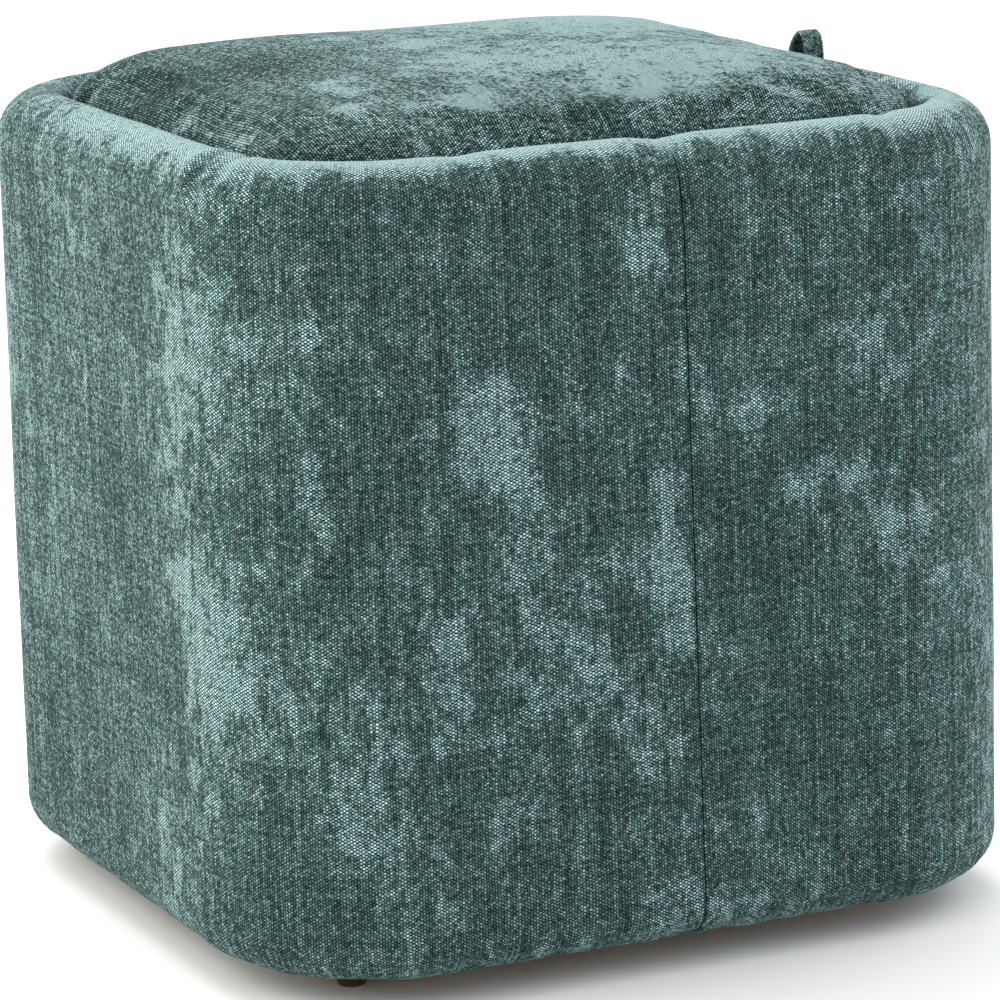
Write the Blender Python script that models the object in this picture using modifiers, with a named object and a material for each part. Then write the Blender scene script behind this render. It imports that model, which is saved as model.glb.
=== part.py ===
"""A cube pouf stool with a padded, cloth-covered wall, a lift-off padded lid and four low glides.

Blender 4.5, metres, +Z up. The origin is on the floor under the middle of the stool. The face with
the upright seam looks along -Y, and the pull loop is on the +X edge of the lid.
"""

import math

import bmesh
import bpy
from mathutils import Matrix, Vector

# Driving dimensions of the whole stool.
WIDTH = 0.420
DEPTH = 0.415
FOOT_HEIGHT = 0.0125
RIM_HEIGHT = 0.398
CLEARANCE = 0.0003

# The padded wall: its corners in plan, the roll over its top edge and the turn at its foot.
CORNER_RADIUS = 0.0985
WALL_THICKNESS = 0.0365
OUTER_ROLL = 0.0235
INNER_ROLL = WALL_THICKNESS - OUTER_ROLL
BOTTOM_ROLL = 0.021

# The storage box inside the wall. Its top edge is the ledge under the lid.
BOARD = 0.012
LEDGE_HEIGHT = 0.357

# The lid: the line where its crown meets its side, its crown and its own corners.
LID_GAP = 0.0055
LID_CORNER = 0.057
LID_EDGE_HEIGHT = 0.3974
CROWN_HEIGHT = 0.026
CROWN_REACH = 2.28
CROWN_SHOULDER = 1.72
LID_CELLS = 24
EDGE_CROWDING = 1.6

# The pull loop's strap.
STRAP_WIDTH = 0.011
STRAP_THICKNESS = 0.002
STRAP_EDGE = 0.0006
STRAP_STEPS = 4

# The glides stand this far in from the faces.
FOOT_INSET = 0.063
FOOT_STEPS = 24

# The front seam leans: its place from the middle, at the rim and at the floor of the wall.
SEAM_TOP_X = 0.0042
SEAM_BOTTOM_X = 0.0105

# Points around the wall, from the front seam to the back one, and around its section.
FRONT_STEPS = 16
FRONT_CORNER_STEPS = 18
SIDE_STEPS = 10
BACK_CORNER_STEPS = 9
BACK_STEPS = 5
WALL_STEPS = 5
BOTTOM_ROLL_STEPS = 5
OUTER_ROLL_STEPS = 6
INNER_ROLL_STEPS = 4

# Folds pressed into the rim. Places are distances along the outline from the front seam, minus
# to the left. Columns: place at the crest, place at the lower end, drop of the lower end below the
# crest, half width, depth.
RIM_FOLDS = (
    (-0.2620, -0.2500, 0.016, 0.0065, 0.0034),
    (-0.2350, -0.2310, 0.012, 0.0060, 0.0014),
    (-0.0985, -0.1010, 0.012, 0.0090, 0.0012),
    (0.0000, 0.0000, 0.032, 0.0110, 0.0022),
    (0.1270, 0.1310, 0.014, 0.0080, 0.0012),
)

# The lid's side below its edge line. Columns: drop, draw-in.
LID_SIDE = (
    (0.0050, 0.0008),
    (0.0140, 0.0022),
    (0.0260, 0.0026),
    (0.0350, 0.0022),
    (0.0385, 0.0032),
    (0.0401, 0.0055),
)

# The middle line of the pull loop's strap, from its near end over the top to its far end.
# Columns: y, height, x, turn of the strap in degrees (0 flat to the lid's side, 90 across it).
STRAP_LINE = (
    (-0.0245, 0.3700, 0.1668, 0),
    (-0.0246, 0.3800, 0.1673, 0),
    (-0.0248, 0.3895, 0.1694, 12),
    (-0.0251, 0.3980, 0.1727, 50),
    (-0.0252, 0.4065, 0.1723, 86),
    (-0.0236, 0.4130, 0.1720, 90),
    (-0.0190, 0.4155, 0.1720, 90),
    (-0.0135, 0.4122, 0.1720, 92),
    (-0.0082, 0.4062, 0.1722, 98),
    (-0.0050, 0.3980, 0.1727, 130),
    (-0.0044, 0.3895, 0.1694, 168),
    (-0.0042, 0.3800, 0.1673, 180),
    (-0.0041, 0.3700, 0.1668, 180),
)

# Half of a glide, from the middle of its top down its side to the middle of its sole.
# Columns: radius, height as a share of the glide's.
FOOT_PROFILE = (
    (0.0, 1.0),
    (0.0095, 1.0),
    (0.0093, 0.86),
    (0.0078, 0.50),
    (0.0072, 0.24),
    (0.0069, 0.12),
    (0.0062, 0.03),
    (0.0056, 0.0),
    (0.0, 0.0),
)

CORNER_X = WIDTH / 2 - CORNER_RADIUS
CORNER_Y = DEPTH / 2 - CORNER_RADIUS
QUARTER = math.pi / 2

# Columns: colour, roughness, metallic value.
CLOTH = ((0.055, 0.125, 0.122), 0.9, 0.0)
WOOD = ((0.42, 0.30, 0.19), 0.6, 0.0)
GLIDE = ((0.035, 0.014, 0.010), 0.45, 0.0)


def clear_scene():
    """Removes every object that the scene holds."""
    for item in list(bpy.data.objects):
        bpy.data.objects.remove(item, do_unlink=True)


def new_material(name, look):
    """A plain material of one colour."""
    colour, roughness, metallic = look
    material = bpy.data.materials.new(name)
    material.use_nodes = True
    shader = material.node_tree.nodes["Principled BSDF"]
    shader.inputs["Base Color"].default_value = (*colour, 1.0)
    shader.inputs["Roughness"].default_value = roughness
    shader.inputs["Metallic"].default_value = metallic
    return material


def new_object(name, bm, look, collection):
    """An object that holds the finished mesh of bm, with its faces pointing out."""
    bmesh.ops.recalc_face_normals(bm, faces=bm.faces)
    mesh = bpy.data.meshes.new(name)
    bm.to_mesh(mesh)
    bm.free()
    mesh.materials.append(new_material(name, look))
    item = bpy.data.objects.new(name, mesh)
    collection.objects.link(item)
    return item


def shade_round(item, angle=40.0):
    """Smooth shading, with the edges sharper than angle kept."""
    item.data.shade_smooth()
    item.data.set_sharp_from_angle(angle=math.radians(angle))


def arc(centre, radius, start, end, steps):
    """Points of a circle's arc after its first one, from start to end in degrees."""
    points = []
    for step in range(1, steps + 1):
        angle = math.radians(start + (end - start) * step / steps)
        points.append((centre[0] + radius * math.cos(angle), centre[1] + radius * math.sin(angle)))
    return points


def wall_section():
    """The padded wall's closed section, as (inset from the outer face, height)."""
    foot = (WALL_THICKNESS, FOOT_HEIGHT)
    turn = (BOTTOM_ROLL, FOOT_HEIGHT)
    points = [foot, turn]
    points += arc((BOTTOM_ROLL, FOOT_HEIGHT + BOTTOM_ROLL), BOTTOM_ROLL, 270, 180, BOTTOM_ROLL_STEPS)
    low = FOOT_HEIGHT + BOTTOM_ROLL
    high = RIM_HEIGHT - OUTER_ROLL
    for step in range(1, WALL_STEPS):
        points.append((0.0, low + (high - low) * step / WALL_STEPS))
    points.append((0.0, high))
    points += arc((OUTER_ROLL, high), OUTER_ROLL, 180, 90, OUTER_ROLL_STEPS)
    inner_centre = (OUTER_ROLL, RIM_HEIGHT - INNER_ROLL)
    points += arc(inner_centre, INNER_ROLL, 90, 0, INNER_ROLL_STEPS)
    points.append((WALL_THICKNESS, LEDGE_HEIGHT))
    return points


def closed_ring(bm, places):
    """Vertices at the places, joined by edges into one ring."""
    corners = [bm.verts.new(place) for place in places]
    return [bm.edges.new((corners[i - 1], corners[i])) for i in range(len(corners))]


def sweep(bm, ring, moves):
    """Extrudes the ring's edges once for each move, and closes the ends that stay open."""
    for move in moves:
        grown = bmesh.ops.extrude_edge_only(bm, edges=ring)["geom"]
        tips = {part for part in grown if isinstance(part, bmesh.types.BMVert)}
        bmesh.ops.transform(bm, matrix=move, verts=list(tips))
        edges = (part for part in grown if isinstance(part, bmesh.types.BMEdge))
        ring = [edge for edge in edges if set(edge.verts) <= tips]
    open_edges = [edge for edge in bm.edges if edge.is_boundary]
    bmesh.ops.holes_fill(bm, edges=open_edges, sides=0)


def straight(step, steps):
    """Moves along a straight stretch that is covered in equal steps."""
    return [Matrix.Translation(Vector(step) / steps)] * steps


def corner(centre, angle, steps):
    """Moves round an upright corner in equal turns."""
    there = Matrix.Translation(Vector(centre))
    return [there @ Matrix.Rotation(angle / steps, 4, "Z") @ there.inverted()] * steps


def outline_place(x, y):
    """Where a point stands: distance along the outline from the front middle, inset from the
    outer face, and the direction straight out. Both sides count up from the front middle."""
    side = abs(x)
    mirrored = -1.0 if x < 0 else 1.0
    front_end = CORNER_X + CORNER_RADIUS * QUARTER
    back_start = front_end + 2 * CORNER_Y
    if y < -CORNER_Y and side <= CORNER_X:
        return side, DEPTH / 2 + y, Vector((0, -1, 0))
    if y < -CORNER_Y:
        angle = math.atan2(side - CORNER_X, -y - CORNER_Y)
        inset = CORNER_RADIUS - math.hypot(side - CORNER_X, y + CORNER_Y)
        out = Vector((mirrored * math.sin(angle), -math.cos(angle), 0))
        return CORNER_X + CORNER_RADIUS * angle, inset, out
    if y <= CORNER_Y:
        return front_end + y + CORNER_Y, WIDTH / 2 - side, Vector((mirrored, 0, 0))
    if side > CORNER_X:
        angle = math.atan2(y - CORNER_Y, side - CORNER_X)
        inset = CORNER_RADIUS - math.hypot(side - CORNER_X, y - CORNER_Y)
        out = Vector((mirrored * math.cos(angle), math.sin(angle), 0))
        return back_start + CORNER_RADIUS * angle, inset, out
    back_end = back_start + CORNER_RADIUS * QUARTER
    return back_end + CORNER_X - side, DEPTH / 2 - y, Vector((0, 1, 0))


def fold_depth(fold, along, drop):
    """How deep a fold is at a place. It fades out from half its reach to one and a half of it."""
    top, bottom, reach, half_width, depth = fold
    share = drop / reach
    across = (along - top - (bottom - top) * min(share, 1.0)) / half_width
    fade = min(1.0, max(0.0, 1.5 - share))
    return depth * fade * math.exp(-across * across)


def press_rim_folds(bm, side):
    """Presses the folds of the table into the rim and the top of the wall."""
    core_height = RIM_HEIGHT - OUTER_ROLL
    for vert in bm.verts:
        drop = RIM_HEIGHT - vert.co.z
        along, inset, out = outline_place(vert.co.x, vert.co.y)
        to_core = Vector((OUTER_ROLL - inset, min(0.0, core_height - vert.co.z)))
        on_inner_wall = inset > WALL_THICKNESS - CLEARANCE
        if on_inner_wall or to_core.length < CLEARANCE:
            continue
        to_core.normalize()
        depth = sum(fold_depth(fold, side * along, drop) for fold in RIM_FOLDS)
        vert.co += depth * (to_core.y * Vector((0, 0, 1)) - to_core.x * out)


def lean_front_seam(bm):
    """Shifts the front of the wall sideways, so that its seam leans and its corners stay."""
    for vert in bm.verts:
        if vert.co.y > 0:
            continue
        share = (vert.co.z - FOOT_HEIGHT) / (RIM_HEIGHT - FOOT_HEIGHT)
        shift = SEAM_BOTTOM_X + (SEAM_TOP_X - SEAM_BOTTOM_X) * share
        fade = max(0.0, 1.0 - abs(vert.co.x) / CORNER_X)
        vert.co.x += shift * fade * fade * (3 - 2 * fade)


def make_side_cover(name, side, collection):
    """One half of the padded wall, from the front seam round its side to the back seam.

    side is -1 for the left half and 1 for the right one."""
    bm = bmesh.new()
    start = side * CLEARANCE / 2
    places = [(start, inset - DEPTH / 2, height) for inset, height in wall_section()]
    ring = closed_ring(bm, places)
    run = CORNER_X - CLEARANCE / 2
    moves = straight((side * run, 0, 0), FRONT_STEPS)
    moves += corner((side * CORNER_X, -CORNER_Y, 0), side * QUARTER, FRONT_CORNER_STEPS)
    moves += straight((0, 2 * CORNER_Y, 0), SIDE_STEPS)
    moves += corner((side * CORNER_X, CORNER_Y, 0), side * QUARTER, BACK_CORNER_STEPS)
    moves += straight((-side * run, 0, 0), BACK_STEPS)
    sweep(bm, ring, moves)
    press_rim_folds(bm, side)
    lean_front_seam(bm)
    item = new_object(name, bm, CLOTH, collection)
    shade_round(item)


def rounded_rectangle(half_x, half_y, radius, steps):
    """Points of a rectangle with round corners, anticlockwise."""
    points = []
    for turn, (sign_x, sign_y) in enumerate(((1, 1), (-1, 1), (-1, -1), (1, -1))):
        centre = (sign_x * (half_x - radius), sign_y * (half_y - radius))
        first = Vector(centre) + radius * Vector((math.cos(turn * QUARTER), math.sin(turn * QUARTER)))
        points.append(tuple(first))
        points += arc(centre, radius, 90 * turn, 90 * turn + 90, steps)
    return points


def make_storage_box(collection):
    """The open box inside the wall: four sides and a floor of one board thickness."""
    bm = bmesh.new()
    inset = WALL_THICKNESS + CLEARANCE
    outline = rounded_rectangle(
        WIDTH / 2 - inset, DEPTH / 2 - inset, CORNER_RADIUS - inset, BACK_CORNER_STEPS
    )
    floor = bm.faces.new([bm.verts.new((x, y, FOOT_HEIGHT)) for x, y in outline])
    walls = bmesh.ops.extrude_edge_only(bm, edges=floor.edges[:])["geom"]
    tops = [part for part in walls if isinstance(part, bmesh.types.BMVert)]
    bmesh.ops.translate(bm, verts=tops, vec=(0, 0, LEDGE_HEIGHT - FOOT_HEIGHT))
    item = new_object("storage_box", bm, WOOD, collection)
    boards = item.modifiers.new("boards", "SOLIDIFY")
    boards.thickness = BOARD
    boards.offset = -1.0
    boards.use_even_offset = True
    shade_round(item)


def lid_outline(u, v, half_x, half_y):
    """A point (u, v) on the edge of the square from -1 to 1, moved to the lid's outline."""
    if abs(v) > abs(u):
        y, x = lid_outline(v, u, half_y, half_x)
        return x, y
    run = half_y - LID_CORNER
    share = run / (run + LID_CORNER * QUARTER / 2)
    if abs(v) <= share:
        return math.copysign(half_x, u), v / share * run
    angle = (abs(v) - share) / (1 - share) * QUARTER / 2
    x = half_x - LID_CORNER + LID_CORNER * math.cos(angle)
    y = run + LID_CORNER * math.sin(angle)
    return math.copysign(x, u), math.copysign(y, v)


def draw_in_side(tips, half_x, half_y, step, height):
    """Puts a ring of the lid's side at its height, and moves it in from the outline by step."""
    for vert in tips:
        core_x = max(LID_CORNER - half_x, min(half_x - LID_CORNER, vert.co.x))
        core_y = max(LID_CORNER - half_y, min(half_y - LID_CORNER, vert.co.y))
        inwards = Vector((core_x - vert.co.x, core_y - vert.co.y, 0)).normalized()
        vert.co += inwards * step
        vert.co.z = height


def make_lid_cushion(collection):
    """The crowned lid: a grid drawn to the lid's outline and raised, with its side hung below."""
    half_x = WIDTH / 2 - WALL_THICKNESS - LID_GAP
    half_y = DEPTH / 2 - WALL_THICKNESS - LID_GAP
    bm = bmesh.new()
    bmesh.ops.create_grid(bm, x_segments=LID_CELLS, y_segments=LID_CELLS, size=1.0)
    for vert in bm.verts:
        ring = max(abs(vert.co.x), abs(vert.co.y))
        x, y = 0.0, 0.0
        if ring > 0:
            x, y = lid_outline(vert.co.x / ring, vert.co.y / ring, half_x, half_y)
        spread = 1 - (1 - ring) ** EDGE_CROWDING
        rise = max(0.0, 1.0 - spread**CROWN_REACH) ** (1 / CROWN_SHOULDER)
        vert.co = (x * spread, y * spread, LID_EDGE_HEIGHT + CROWN_HEIGHT * rise)
    ring_edges = [edge for edge in bm.edges if edge.is_boundary]
    drawn = 0.0
    for drop, draw_in in LID_SIDE:
        grown = bmesh.ops.extrude_edge_only(bm, edges=ring_edges)["geom"]
        tips = {part for part in grown if isinstance(part, bmesh.types.BMVert)}
        draw_in_side(tips, half_x, half_y, draw_in - drawn, LID_EDGE_HEIGHT - drop)
        edges = (part for part in grown if isinstance(part, bmesh.types.BMEdge))
        ring_edges = [edge for edge in edges if set(edge.verts) <= tips]
        drawn = draw_in
    bmesh.ops.holes_fill(bm, edges=ring_edges, sides=0)
    item = new_object("lid_cushion", bm, CLOTH, collection)
    shade_round(item)
    return item


def smooth_rows(rows, steps):
    """Rows read from a smooth curve through the given rows, with steps between each two."""
    line = [Vector(row) for row in rows]
    smooth = []
    for i in range(len(line) - 1):
        before = line[max(i - 1, 0)]
        after = line[min(i + 2, len(line) - 1)]
        for step in range(steps):
            t = step / steps
            ends = line[i] * (1 + 2 * t) * (1 - t) ** 2 + line[i + 1] * t * t * (3 - 2 * t)
            slopes = (line[i + 1] - before) * t * (1 - t) ** 2 - (after - line[i]) * t * t * (1 - t)
            smooth.append(ends + slopes / 2)
    smooth.append(line[-1])
    return smooth


def strap_frames():
    """The strap's place and bearing at each step: X across its width, Y through it, Z along it."""
    rows = smooth_rows(STRAP_LINE, STRAP_STEPS)
    places = [Vector((x, y, height)) for y, height, x, _ in rows]
    frames = []
    for i, row in enumerate(rows):
        along = (places[min(i + 1, len(rows) - 1)] - places[max(i - 1, 0)]).normalized()
        across = along.cross(Vector((1, 0, 0))).normalized()
        out = across.cross(along)
        turn = math.radians(row[3])
        width = math.cos(turn) * across + math.sin(turn) * out
        through = along.cross(width)
        bearing = Matrix((width, through, along)).transposed().to_4x4()
        frames.append(Matrix.Translation(places[i]) @ bearing)
    return frames


def make_pull_loop(collection):
    """The strap of folded cloth, turned flat to the lid's side at both of its ends."""
    half, thick, edge = STRAP_WIDTH / 2, STRAP_THICKNESS / 2, STRAP_EDGE
    quarter = ((half, -thick + edge), (half, thick - edge), (half - edge, thick))
    section = quarter + tuple((-x, y) for x, y in reversed(quarter[1:]))
    section += ((-half, -thick + edge), (-half + edge, -thick), (half - edge, -thick))
    frames = strap_frames()
    bm = bmesh.new()
    ring = closed_ring(bm, [frames[0] @ Vector((x, y, 0)) for x, y in section])
    moves = [after @ before.inverted() for before, after in zip(frames, frames[1:])]
    sweep(bm, ring, moves)
    item = new_object("pull_loop", bm, CLOTH, collection)
    shade_round(item)
    return item


def make_foot(name, x, y, collection):
    """A glide, turned from half of its outline."""
    bm = bmesh.new()
    height = FOOT_HEIGHT - CLEARANCE
    points = [bm.verts.new((radius, 0, share * height)) for radius, share in FOOT_PROFILE]
    for upper, lower in zip(points, points[1:]):
        bm.edges.new((upper, lower))
    item = new_object(name, bm, GLIDE, collection)
    turned = item.modifiers.new("turned", "SCREW")
    turned.steps = FOOT_STEPS
    turned.render_steps = FOOT_STEPS
    turned.use_merge_vertices = True
    turned.merge_threshold = 0.0001
    item.location = (x, y, 0)


def make_stool():
    """Builds every piece of the stool."""
    clear_scene()
    collection = bpy.data.collections.new("cube_pouf_stool")
    bpy.context.scene.collection.children.link(collection)
    make_side_cover("side_cover_left", -1, collection)
    make_side_cover("side_cover_right", 1, collection)
    make_storage_box(collection)
    lid_lift = bpy.data.objects.new("lid_lift", None)
    lid_lift.location = (0, 0, LEDGE_HEIGHT)
    collection.objects.link(lid_lift)
    bpy.context.view_layer.update()
    for item in (make_lid_cushion(collection), make_pull_loop(collection)):
        item.parent = lid_lift
        item.matrix_parent_inverse = lid_lift.matrix_world.inverted()
    foot_x = WIDTH / 2 - FOOT_INSET
    foot_y = DEPTH / 2 - FOOT_INSET
    make_foot("foot_front_left", -foot_x, -foot_y, collection)
    make_foot("foot_front_right", foot_x, -foot_y, collection)
    make_foot("foot_back_left", -foot_x, foot_y, collection)
    make_foot("foot_back_right", foot_x, foot_y, collection)


make_stool()
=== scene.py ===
"""Dresses the cube pouf stool: its cloth, its padding, its lid, its box and its glides.

Everything is in metres in the part's own frame: +Z up, the face with the upright seam along -Y, and
the pull loop on the +X edge of the lid.
"""

import logging
import math
from collections.abc import Callable, Sequence
from dataclasses import dataclass, field
from enum import Enum

import bpy
import numpy as np
from mathutils import Matrix, Vector, noise


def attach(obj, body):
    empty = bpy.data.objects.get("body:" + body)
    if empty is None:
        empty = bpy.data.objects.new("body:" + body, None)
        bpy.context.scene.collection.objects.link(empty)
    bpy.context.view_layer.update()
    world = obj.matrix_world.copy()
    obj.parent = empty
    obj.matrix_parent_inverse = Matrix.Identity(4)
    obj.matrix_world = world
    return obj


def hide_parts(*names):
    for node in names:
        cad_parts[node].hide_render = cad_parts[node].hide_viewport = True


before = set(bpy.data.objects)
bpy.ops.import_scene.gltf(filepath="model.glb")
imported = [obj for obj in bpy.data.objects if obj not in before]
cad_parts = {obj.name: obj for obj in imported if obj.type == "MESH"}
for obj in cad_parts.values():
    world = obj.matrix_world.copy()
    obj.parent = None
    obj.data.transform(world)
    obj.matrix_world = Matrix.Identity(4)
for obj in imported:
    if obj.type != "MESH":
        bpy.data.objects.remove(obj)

LOG = logging.getLogger("pouf")
CLOTH_MAP = "cloth_place"
PILE_AND_PAINTED_LIGHT_LAYER = "pile_and_painted_light"
QUARTER = math.pi / 2
Colour = tuple[float, float, float]
Face = tuple[int, ...]
Socket = bpy.types.NodeSocket
Value = float | Socket


def smooth_step(share: np.ndarray | float) -> np.ndarray | float:
    """Eases a share from 0 to 1, and holds it there outside."""
    held = np.clip(share, 0.0, 1.0)
    return held * held * (3.0 - 2.0 * held)


def drift(points: np.ndarray, wave: float, seed: float) -> np.ndarray:
    """Soft unevenness from -1 to 1 at each point.

    Args:
        points: places in metres, one row each.
        wave: the length of one swell, in metres.
        seed: a different pattern for each value.

    Returns:
        One value for each point.
    """
    shift = Vector((seed, 1.7 * seed, -2.3 * seed))
    return np.array([noise.noise(Vector(p) / wave + shift) for p in points])


def bell(distance: np.ndarray, width: float) -> np.ndarray:
    """A smooth bump, 1 where the distance is 0 and faded out at twice the width."""
    return np.exp(-((distance / width) ** 2))


def in_scene(data: bpy.types.ID) -> bpy.types.Object:
    """Puts a mesh, a light or a camera in the scene, as an object of the same name.

    Args:
        data: the object's own data.

    Returns:
        The object.
    """
    thing = bpy.data.objects.new(data.name, data)
    bpy.context.scene.collection.objects.link(thing)
    return thing


class Body(Enum):
    """The moving bodies that pieces ride on."""

    TUB = "tub"
    LID = "lid"


class Slot(Enum):
    """The record's material slots that the scene's own pieces take."""

    CLOTH = "cloth"
    GLIDE = "glide"


class Half(Enum):
    """Which half of the padded wall a cover is."""

    LEFT = -1
    RIGHT = 1


# ---------------------------------------------------------------- shader tools


class NodeSketch:
    """Adds nodes to a tree and joins them, so that a finish reads as a list of steps."""

    def __init__(self, tree: bpy.types.NodeTree) -> None:
        """Args: tree, the node tree to draw in."""
        self.tree = tree

    def feed(self, value: Value | Sequence[float], socket: Socket) -> None:
        """Joins a socket to another, or sets it to a plain value.

        Args:
            value: the socket that feeds it, or its plain value.
            socket: what is fed.
        """
        if isinstance(value, Socket):
            self.tree.links.new(value, socket)
        else:
            socket.default_value = value

    def add(
        self, kind: str, inputs: dict[str | int, object] | None = None, **settings: object
    ) -> bpy.types.Node:
        """Adds one node.

        Args:
            kind: the node's class without "ShaderNode".
            inputs: what each input gets, a value or a socket.
            settings: properties of the node itself.

        Returns:
            The node.
        """
        node = self.tree.nodes.new("ShaderNode" + kind)
        for name, setting in settings.items():
            setattr(node, name, setting)
        for name, value in (inputs or {}).items():
            self.feed(value, node.inputs[name])
        return node

    def math(self, operation: str, *values: Value, clamp: bool = False) -> Socket:
        """One sum of plain numbers."""
        inputs = dict(enumerate(values))
        return self.add("Math", inputs, operation=operation, use_clamp=clamp).outputs[0]

    def product(self, first: Value, second: Value) -> Socket:
        """One value times another."""
        return self.math("MULTIPLY", first, second)

    def toward(self, start: Value, end: Value, share: Value) -> Socket:
        """What is start where the share is 0 and end where it is 1."""
        return self.math("ADD", start, self.product(share, self.math("SUBTRACT", end, start)))

    def weighted(self, start: Value, *terms: tuple[Value, float]) -> Socket:
        """Adds up terms that swing about a half: start + weight * (term - 0.5) for each.

        Args:
            start: the sum without its terms.
            terms: each term with its weight.

        Returns:
            The sum.
        """
        total = start
        for term, weight in terms:
            swing = self.math("MULTIPLY_ADD", term, weight, -0.5 * weight)
            total = self.math("ADD", total, swing)
        return total

    def stretched(self, place: Socket, scale: Sequence[float]) -> Socket:
        """A place with each of its coordinates scaled."""
        return self.add("VectorMath", {0: place, 1: tuple(scale)}, operation="MULTIPLY").outputs[0]

    def clouds(
        self, place: Socket, scale: Sequence[float], detail: float = 3.0, rough: float = 0.55
    ) -> Socket:
        """Noise from 0 to 1 about a half, stretched by scale in patterns for each metre."""
        inputs = {"Vector": self.stretched(place, scale), "Scale": 1.0, "Detail": detail, "Roughness": rough}
        return self.add("TexNoise", inputs, noise_dimensions="3D").outputs["Fac"]

    def shaped(self, value: Value, low: float, high: float) -> Socket:
        """Spreads a value between low and high over 0 to 1, with soft ends."""
        inputs = {"Value": value, "From Min": low, "From Max": high}
        return self.add("MapRange", inputs, interpolation_type="SMOOTHSTEP").outputs["Result"]

    def ramp(self, value: Value, stops: Sequence[tuple[float, Colour]]) -> Socket:
        """A colour read from stops along a value.

        Args:
            value: what picks the colour.
            stops: from the first to the last, each with its value and colour.

        Returns:
            The colour.
        """
        node = self.add("ValToRGB", {"Fac": value})
        marks = node.color_ramp.elements
        while len(marks) < len(stops):
            marks.new(0.5)
        for mark, (place, colour) in zip(marks, stops):
            mark.position = place
            mark.color = (*colour, 1.0)
        return node.outputs["Color"]

    def blend(self, share: Value, first: object, second: object, kind: str = "MIX") -> Socket:
        """Mixes two colours.

        Args:
            share: how much the second counts.
            first, second: colours, or the sockets that give them.
            kind: the way they are mixed.

        Returns:
            The mixed colour.
        """
        node = self.add("Mix", data_type="RGBA", blend_type=kind)
        self.feed(share, node.inputs[0])
        for value, socket in ((first, node.inputs[6]), (second, node.inputs[7])):
            self.feed((*value, 1.0) if isinstance(value, tuple) else value, socket)
        return node.outputs[2]


class MaterialSketch(NodeSketch):
    """A new material with its shader, and the steps that every finish takes."""

    def __init__(self, name: str) -> None:
        """Args: name, the material's name."""
        self.material = bpy.data.materials.new(name)
        self.material.use_nodes = True
        super().__init__(self.material.node_tree)
        self.shader = self.tree.nodes["Principled BSDF"]

    def surface(self, colour: Socket, roughness: Value) -> None:
        """Feeds the shader's colour and roughness."""
        self.feed(colour, self.shader.inputs["Base Color"])
        self.feed(roughness, self.shader.inputs["Roughness"])

    def raised(self, height: Socket, depth: float, strength: float = 1.0) -> None:
        """Gives the surface a fine relief, whose height from 0 to 1 stands for the depth in metres."""
        bump = self.add("Bump", {"Strength": strength, "Distance": depth, "Height": height})
        self.feed(bump.outputs["Normal"], self.shader.inputs["Normal"])


@dataclass(frozen=True)
class Effect:
    """A shader node group that is built once and placed in several materials.

    Args:
        name: the group's name.
        inputs: each input's name, first a place and then plain numbers.
        outputs: each output's name, all of them plain numbers.
        drawn: draws the group's nodes between its two ends.
    """

    name: str
    inputs: tuple[str, ...]
    outputs: tuple[str, ...]
    drawn: Callable[[NodeSketch, dict, dict], None]

    def tree(self) -> bpy.types.NodeTree:
        """The group, built on first use.

        Returns:
            The group's node tree.
        """
        group = bpy.data.node_groups.get(self.name)
        if group:
            return group
        group = bpy.data.node_groups.new(self.name, "ShaderNodeTree")
        for number, name in enumerate(self.inputs):
            kind = "NodeSocketFloat" if number else "NodeSocketVector"
            group.interface.new_socket(name, in_out="INPUT", socket_type=kind)
        for name in self.outputs:
            group.interface.new_socket(name, in_out="OUTPUT", socket_type="NodeSocketFloat")
        start = group.nodes.new("NodeGroupInput")
        end = group.nodes.new("NodeGroupOutput")
        self.drawn(NodeSketch(group), dict(start.outputs.items()), dict(end.inputs.items()))
        return group

    def place(self, sketch: NodeSketch, **inputs: object) -> dict[str, Socket]:
        """Puts the group in a material.

        Args:
            sketch: the material's tree.
            inputs: what each input gets, with its name in small letters and _ for spaces.

        Returns:
            The group's outputs by name.
        """
        node = sketch.tree.nodes.new("ShaderNodeGroup")
        node.node_tree = self.tree()
        for name, value in inputs.items():
            sketch.feed(value, node.inputs[name.replace("_", " ").title()])
        return dict(node.outputs.items())


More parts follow.
